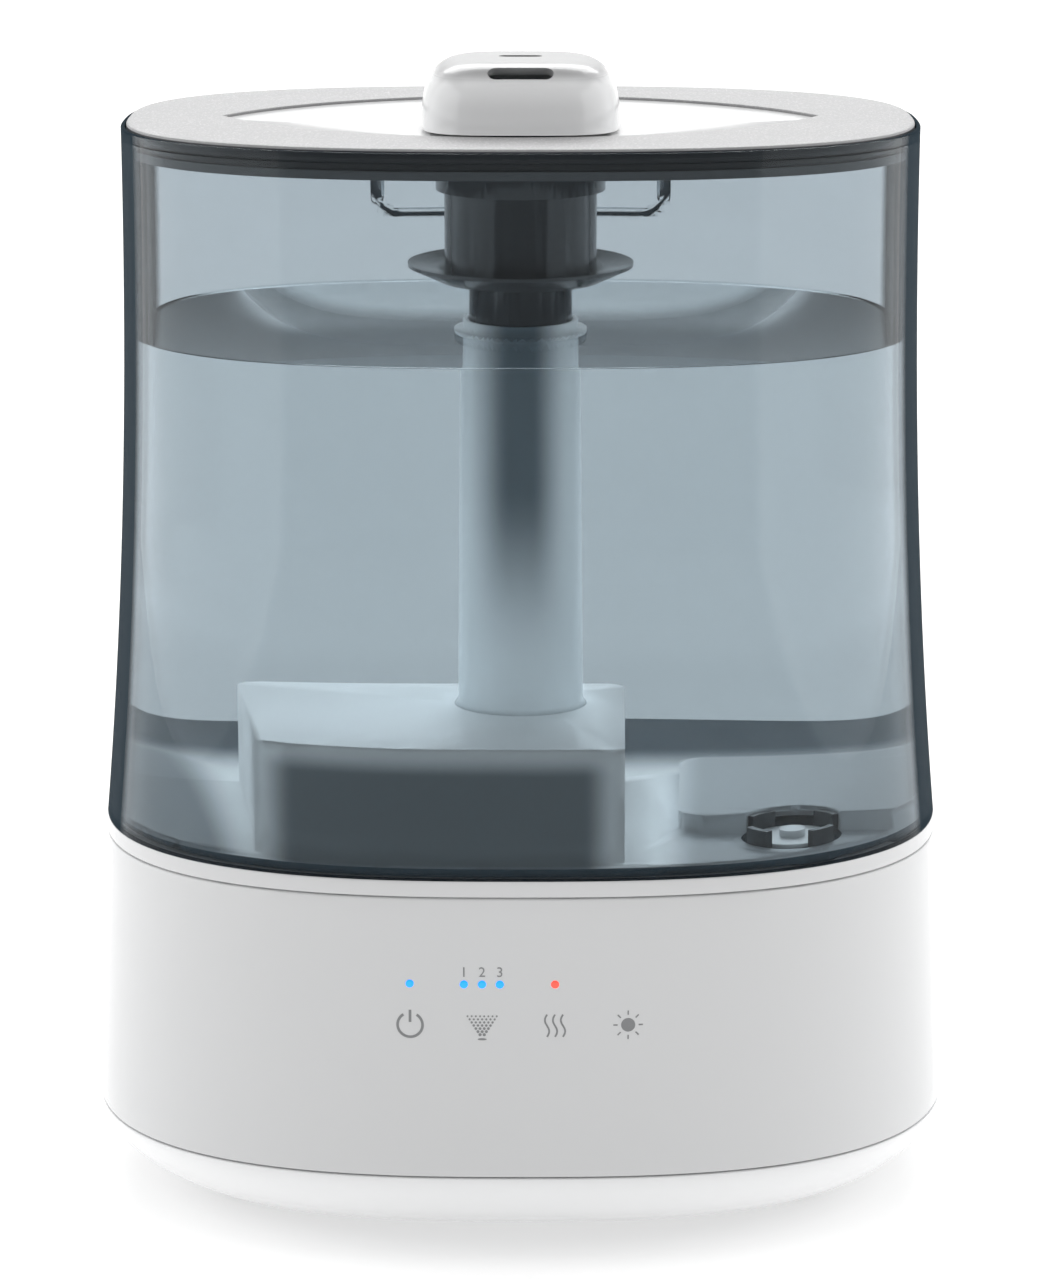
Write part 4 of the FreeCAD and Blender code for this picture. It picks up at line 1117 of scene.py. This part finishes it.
# ---------------------------------------------------------------- tank
@dataclass
class Tank(Assembly):
    """Tinted wall, floor with the mist chamber, chimney and the water."""

    casing: Casing = field(default_factory=Casing.from_frame)
    segments: int = 384
    wall: float = 3.0 * MM
    lip: float = 1.3 * MM
    rebate: float = 3.1 * MM
    water_z: float = 252.0 * MM
    water_gap: float = 0.3 * MM
    grip_half: float = 44.0 * MM
    grip_low: float = 161.0 * MM
    grip_high: float = 184.0 * MM
    grip_depth: float = 11.0 * MM
    grip_radius: float = 8.0 * MM
    floor_fall: float = 4.9 * MM

    def build(self) -> None:
        """Make the tank's pieces."""
        self.shell()
        self.floor()
        self.water()
        self.chimney()

    def grip_push(self, x: float, z: float) -> float:
        """How far the back wall is pushed in at a point, from 0 to 1.

        Args:
            x: place across the wall.
            z: height.

        Returns:
            How far the wall is pushed in.
        """
        c = self.casing
        centre = c.base_top + (self.grip_low + self.grip_high) / 2.0
        half_h = (self.grip_high - self.grip_low) / 2.0
        dx = abs(x) - (self.grip_half - self.grip_radius)
        dz = abs(z - centre) - (half_h - self.grip_radius)
        outside = math.hypot(max(dx, 0.0), max(dz, 0.0)) + min(max(dx, dz), 0.0) - self.grip_radius
        t = min(1.0, max(0.0, (2.0 * MM - outside) / (4.5 * MM)))
        return t * t * (3.0 - 2.0 * t)

    def wall_levels(self, low: float, high: float) -> list[float]:
        """Heights of the wall's rings, dense across the hand grip.

        Args:
            low: foot of the wall.
            high: rim of the wall.

        Returns:
            Heights of the rings.
        """
        c = self.casing
        start = c.base_top + self.grip_low - 5.0 * MM
        end = c.base_top + self.grip_high + 4.0 * MM
        levels = spread(low, start, 26) + spread(start, end, 26)[1:] + spread(end, high, 5)[1:]
        return [z for z in levels if low <= z <= high]

    def shell(self) -> None:
        """Tinted wall with a rebate for the lid and the hand grip."""
        c = self.casing
        low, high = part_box("tank_shell")[0][2], c.tank_top
        seat = high - self.rebate
        levels = self.wall_levels(low, high)
        outer = [(c.tank_inset(z), z) for z in levels]
        top = c.tank_inset(high)
        rim = [(top + self.lip, high), (top + self.lip, seat), (top + self.wall, seat)]
        inner = [(c.tank_inset(z) + self.wall, z) for z in reversed(levels) if z < seat - 1.0 * MM]
        rows = smooth_rows(outer[-2:] + rim + inner[:1], 0.45 * MM)
        skin = Skin(self.segments)
        skin.levels(c.oval, outer[:-2] + rows + inner[1:])
        skin.close()
        for vert in skin.bm.verts:
            if vert.co.y > 0.0:
                vert.co.y -= self.grip_depth * self.grip_push(vert.co.x, vert.co.z)
        obj = finish_mesh("tinted_tank", skin.bm)
        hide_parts("tank_shell")
        self.place(obj, "tank", "smoke_clear")

    def floor(self) -> None:
        """Floor with the mist chamber, the platform and the valve sump."""
        obj = polished_copy("milky_tank_floor", "tank_floor", 50.0)
        self.place(obj, "tank", "smoke_floor")

    def floor_z(self, y: float) -> float:
        """Top of the sloping floor at a given y.

        Args:
            y: depth in the tank.

        Returns:
            Height of the floor.
        """
        c = self.casing
        share = (y + c.oval.half_d) / (2.0 * c.oval.half_d)
        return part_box("tank_shell")[0][2] + self.wall + self.floor_fall * share

    def water(self) -> None:
        """Water up to its level, with a small meniscus at the wall."""
        c = self.casing
        inset = self.wall + self.water_gap
        low = c.base_top + self.wall
        rows = [(c.tank_inset(z) + inset, z) for z in spread(low, self.water_z - 1.0 * MM, 40)]
        top = c.tank_inset(self.water_z) + inset
        rows += [(top, self.water_z + 0.6 * MM), (top + 0.5 * MM, self.water_z + 0.2 * MM)]
        rows += [(top + 2.0 * MM, self.water_z)]
        skin = Skin(192)
        skin.levels(c.oval, rows)
        for vert in skin.bm.verts:
            if vert.co.z < low + 1e-6:
                vert.co.z = self.floor_z(vert.co.y) - 0.5 * MM
        skin.cap(skin.first)
        skin.cap(skin.last)
        obj = finish_mesh("water_fill", skin.bm)
        self.place(obj, "tank", "smoke_clear", "water")
        obj.data.materials.append(self.palette.get("water_top"))
        for face in obj.data.polygons:
            face.material_index = int(face.normal.z > 0.5)

    def chimney(self) -> None:
        """Tapered mist tube with its ring."""
        obj = polished_copy("mist_chimney", "chimney", 35.0)
        self.place(obj, "tank", "smoke_floor", "chimney_milk")


# ---------------------------------------------------------------- lid
@dataclass
class Lid(Assembly):
    """Lid plate, glossy inlay, collar, duct and nozzle."""

    casing: Casing = field(default_factory=Casing.from_frame)
    eye: Eye = Eye(84.0 * MM, 50.0 * MM)
    segments: int = 256
    thickness: float = 4.0 * MM
    lens_depth: float = 2.4 * MM
    lens_sheet: float = 1.6 * MM
    collar_r: float = 23.8 * MM
    skirt: float = 3.6 * MM
    skirt_t: float = 2.0 * MM

    def build(self) -> None:
        """Make the lid's pieces."""
        self.panel()
        self.inlay()
        self.fittings()
        self.nozzle()

    def panel(self) -> None:
        """Plate with a rounded edge, the inlay's recess, the skirt and the collar's hole."""
        c = self.casing
        top = c.lid_top
        low = top - self.thickness
        edge = c.tank_inset(c.tank_top) + 1.6 * MM
        self.rim_skirt(low)
        rows: list[Row] = [(edge + 9.0 * MM, low), (edge, low), (edge, top), (edge + 4.0 * MM, top)]
        skin = Skin(self.segments)
        skin.levels(c.oval, smooth_rows(rows, 0.7 * MM))
        hole = Ring(self.collar_r, 0.0, c.axis_y)
        recess = top - self.lens_depth
        skin.levels(self.eye, [(-1.2 * MM, top), (-0.25 * MM, top), (0.0, top - 0.25 * MM), (0.0, recess)])
        skin.levels(hole, [(0.0, recess), (0.0, low)])
        skin.close()
        obj = finish_mesh("lid_plate", skin.bm)
        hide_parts("lid_panel")
        self.place(obj, "lid", "lid_grey")
        obj.data.materials.append(self.palette.get("lid_skirt"))
        for face in obj.data.polygons:
            face.material_index = int(self.on_side(face.center, top))

    def on_side(self, point: Vector, top: float) -> bool:
        """True on the plate's outer side and underside, below its bright top edge."""
        outside = abs(point.x) > self.eye.half_l or abs(point.y) > self.eye.half_w
        return outside and point.z < top - 0.9 * MM

    def rim_skirt(self, top: float) -> None:
        """Dark skirt under the plate that centres it in the tank.

        Args:
            top: height of its upper edge.
        """
        c = self.casing
        out = c.tank_inset(top) + 4.5 * MM
        low = top - self.skirt
        rows = [(out + self.skirt_t, top), (out + self.skirt_t, low), (out, low), (out, top)]
        skin = Skin(self.segments)
        skin.levels(c.oval, smooth_rows(rows, 0.5 * MM))
        skin.close()
        self.place(finish_mesh("lid_rim_skirt", skin.bm), "lid", "lid_grey", "lid_skirt")

    def inlay(self) -> None:
        """Glossy dished inlay."""
        c = self.casing
        low = c.lid_top - self.lens_depth
        high = low + self.lens_sheet
        hole = Ring(self.collar_r, 0.0, c.axis_y)
        skin = Skin(self.segments)
        skin.level(hole, 0.0, low)
        skin.levels(self.eye, [(0.15 * MM, low), (0.15 * MM, high), (0.6 * MM, high + 0.1 * MM),
                               (2.5 * MM, high - 0.35 * MM)])
        skin.levels(hole, [(-4.0 * MM, high - 0.5 * MM), (0.0, high - 0.5 * MM)])
        skin.close()
        obj = finish_mesh("lid_gloss_inlay", skin.bm)
        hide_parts("lid_inlay")
        self.place(obj, "lid", "white_gloss", "pan_white")

    def fittings(self) -> None:
        """Collar and duct under the lid."""
        self.place(polished_copy("stepped_collar", "mist_collar", 35.0), "lid", "duct_grey")
        self.place(polished_copy("drip_duct", "mist_duct", 35.0), "lid", "duct_grey")

    def nozzle(self) -> None:
        """Glossy hollow dome."""
        obj = polished_copy("mist_nozzle", "nozzle_cap", 40.0)
        self.place(obj, "nozzle", "white_gloss", "nozzle_white")


# ---------------------------------------------------------------- studio
@dataclass
class Studio:
    """Floor, soft boxes and camera."""

    palette: Palette
    distance: float = 1.067
    height: float = 0.437
    pitch_deg: float = 14.66
    lens_mm: float = 106.0
    floor_glow: float = 0.74
    surround: float = 0.12
    foot: tuple[float, float] = (0.122, 0.088)
    foot_near: float = 0.80
    foot_far: float = 1.25
    foot_glow: float = 0.63

    def build(self) -> None:
        """Make the set."""
        self.floor()
        self.lights()
        self.camera()

    def floor(self) -> None:
        """Pale floor that curves up behind into a backdrop."""
        bm = bmesh.new()
        reach, bend, wall, half = 2.2, 1.2, 3.2, 5.0
        profile = [(-6.0, 0.0), (reach, 0.0)]
        for i in range(1, 17):
            angle = 0.5 * math.pi * i / 16
            profile.append((reach + bend * math.sin(angle), bend * (1.0 - math.cos(angle))))
        profile.append((reach + bend, wall))
        verts = [bm.verts.new((-half, y, z)) for y, z in profile]
        edges = [bm.edges.new(pair) for pair in zip(verts, verts[1:])]
        grown = bmesh.ops.extrude_edge_only(bm, edges=edges)["geom"]
        moved = [g for g in grown if isinstance(g, bmesh.types.BMVert)]
        bmesh.ops.translate(bm, vec=(2.0 * half, 0.0, 0.0), verts=moved)
        obj = finish_mesh("studio_floor", bm, recalc=False)
        finish = Moulded("pale_floor", (0.42, 0.42, 0.42), 0.8, Surface.SATIN, grain_scale=40.0, bump=0.0,
                         drift=0.01)
        material = finish.build()
        shader = next(n for n in material.node_tree.nodes if n.type == "BSDF_PRINCIPLED")
        shader.inputs["Emission Color"].default_value = (1.0, 1.0, 1.0, 1.0)
        shader.inputs["Emission Strength"].default_value = self.floor_glow
        material.node_tree.links.new(self.contact(material.node_tree), shader.inputs["Emission Color"])
        obj.data.materials.append(material)

    def contact(self, tree: bpy.types.NodeTree) -> bpy.types.NodeSocket:
        """Glow that fades under the foot of the object.

        Args:
            tree: the floor's node tree.

        Returns:
            The colour of the glow.
        """
        where = tree.nodes.new("ShaderNodeTexCoord")
        squeeze = tree.nodes.new("ShaderNodeMapping")
        squeeze.inputs["Scale"].default_value = (1.0 / self.foot[0], 1.0 / self.foot[1], 0.0)
        far = tree.nodes.new("ShaderNodeVectorMath")
        far.operation = "LENGTH"
        ramp = tree.nodes.new("ShaderNodeMapRange")
        ramp.interpolation_type = "SMOOTHSTEP"
        ramp.inputs["From Min"].default_value = self.foot_near
        ramp.inputs["From Max"].default_value = self.foot_far
        ramp.inputs["To Min"].default_value = self.foot_glow
        tree.links.new(where.outputs["Object"], squeeze.inputs["Vector"])
        tree.links.new(squeeze.outputs["Vector"], far.inputs[0])
        tree.links.new(far.outputs["Value"], ramp.inputs["Value"])
        return ramp.outputs["Result"]

    def soft_box(self, name: str, place: RGB, turn: RGB, size: Row, watts: float) -> None:
        """One rectangular light.

        Args:
            name: its name.
            place: centre.
            turn: Euler angles in degrees; unturned, it shines down.
            size: width and height.
            watts: power.
        """
        data = bpy.data.lights.new(name, "AREA")
        data.shape = "RECTANGLE"
        data.size, data.size_y = size
        data.energy = watts
        obj = bpy.data.objects.new(name, data)
        obj.location = place
        obj.rotation_euler = [math.radians(a) for a in turn]
        bpy.context.scene.collection.objects.link(obj)

    def lights(self) -> None:
        """Side boxes with a crisp front edge, a top box and an even surround."""
        side = (1.45, 1.75)
        self.soft_box("left_box", (-0.97, -0.30, 0.62), (0.0, -90.0, 0.0), side, 11.5)
        self.soft_box("right_box", (0.97, -0.30, 0.62), (0.0, 90.0, 0.0), side, 11.5)
        self.soft_box("back_box", (0.0, 2.3, 2.2), (-46.0, 0.0, 0.0), (2.6, 1.5), 80.0)
        self.soft_box("top_box", (0.0, -0.15, 1.6), (0.0, 0.0, 0.0), (1.2, 1.0), 4.5)
        world = bpy.data.worlds.new("surround")
        world.use_nodes = True
        shade = world.node_tree.nodes["Background"]
        shade.inputs["Color"].default_value = (1.0, 1.0, 1.0, 1.0)
        shade.inputs["Strength"].default_value = self.surround
        bpy.context.scene.world = world
        bpy.context.scene.view_settings.view_transform = "Standard"

    def camera(self) -> None:
        """Camera in front, a little above, looking down."""
        data = bpy.data.cameras.new("camera")
        data.sensor_width = 36.0
        data.lens = self.lens_mm
        data.shift_x = 0.0023
        data.clip_end = 50.0
        obj = bpy.data.objects.new("camera", data)
        obj.location = (0.0, -self.distance, self.height)
        obj.rotation_euler = (math.radians(90.0 - self.pitch_deg), 0.0, 0.0)
        bpy.context.scene.collection.objects.link(obj)
        bpy.context.scene.camera = obj


def main() -> None:
    """Build the set, dress the frame and make each sub-assembly."""
    logging.basicConfig(level=logging.INFO, format="%(name)s %(message)s")
    palette = Palette()
    palette.dress_frame()
    Studio(palette).build()
    Base(palette).build()
    Tank(palette).build()
    Lid(palette).build()


if __name__ == "__main__":
    main()
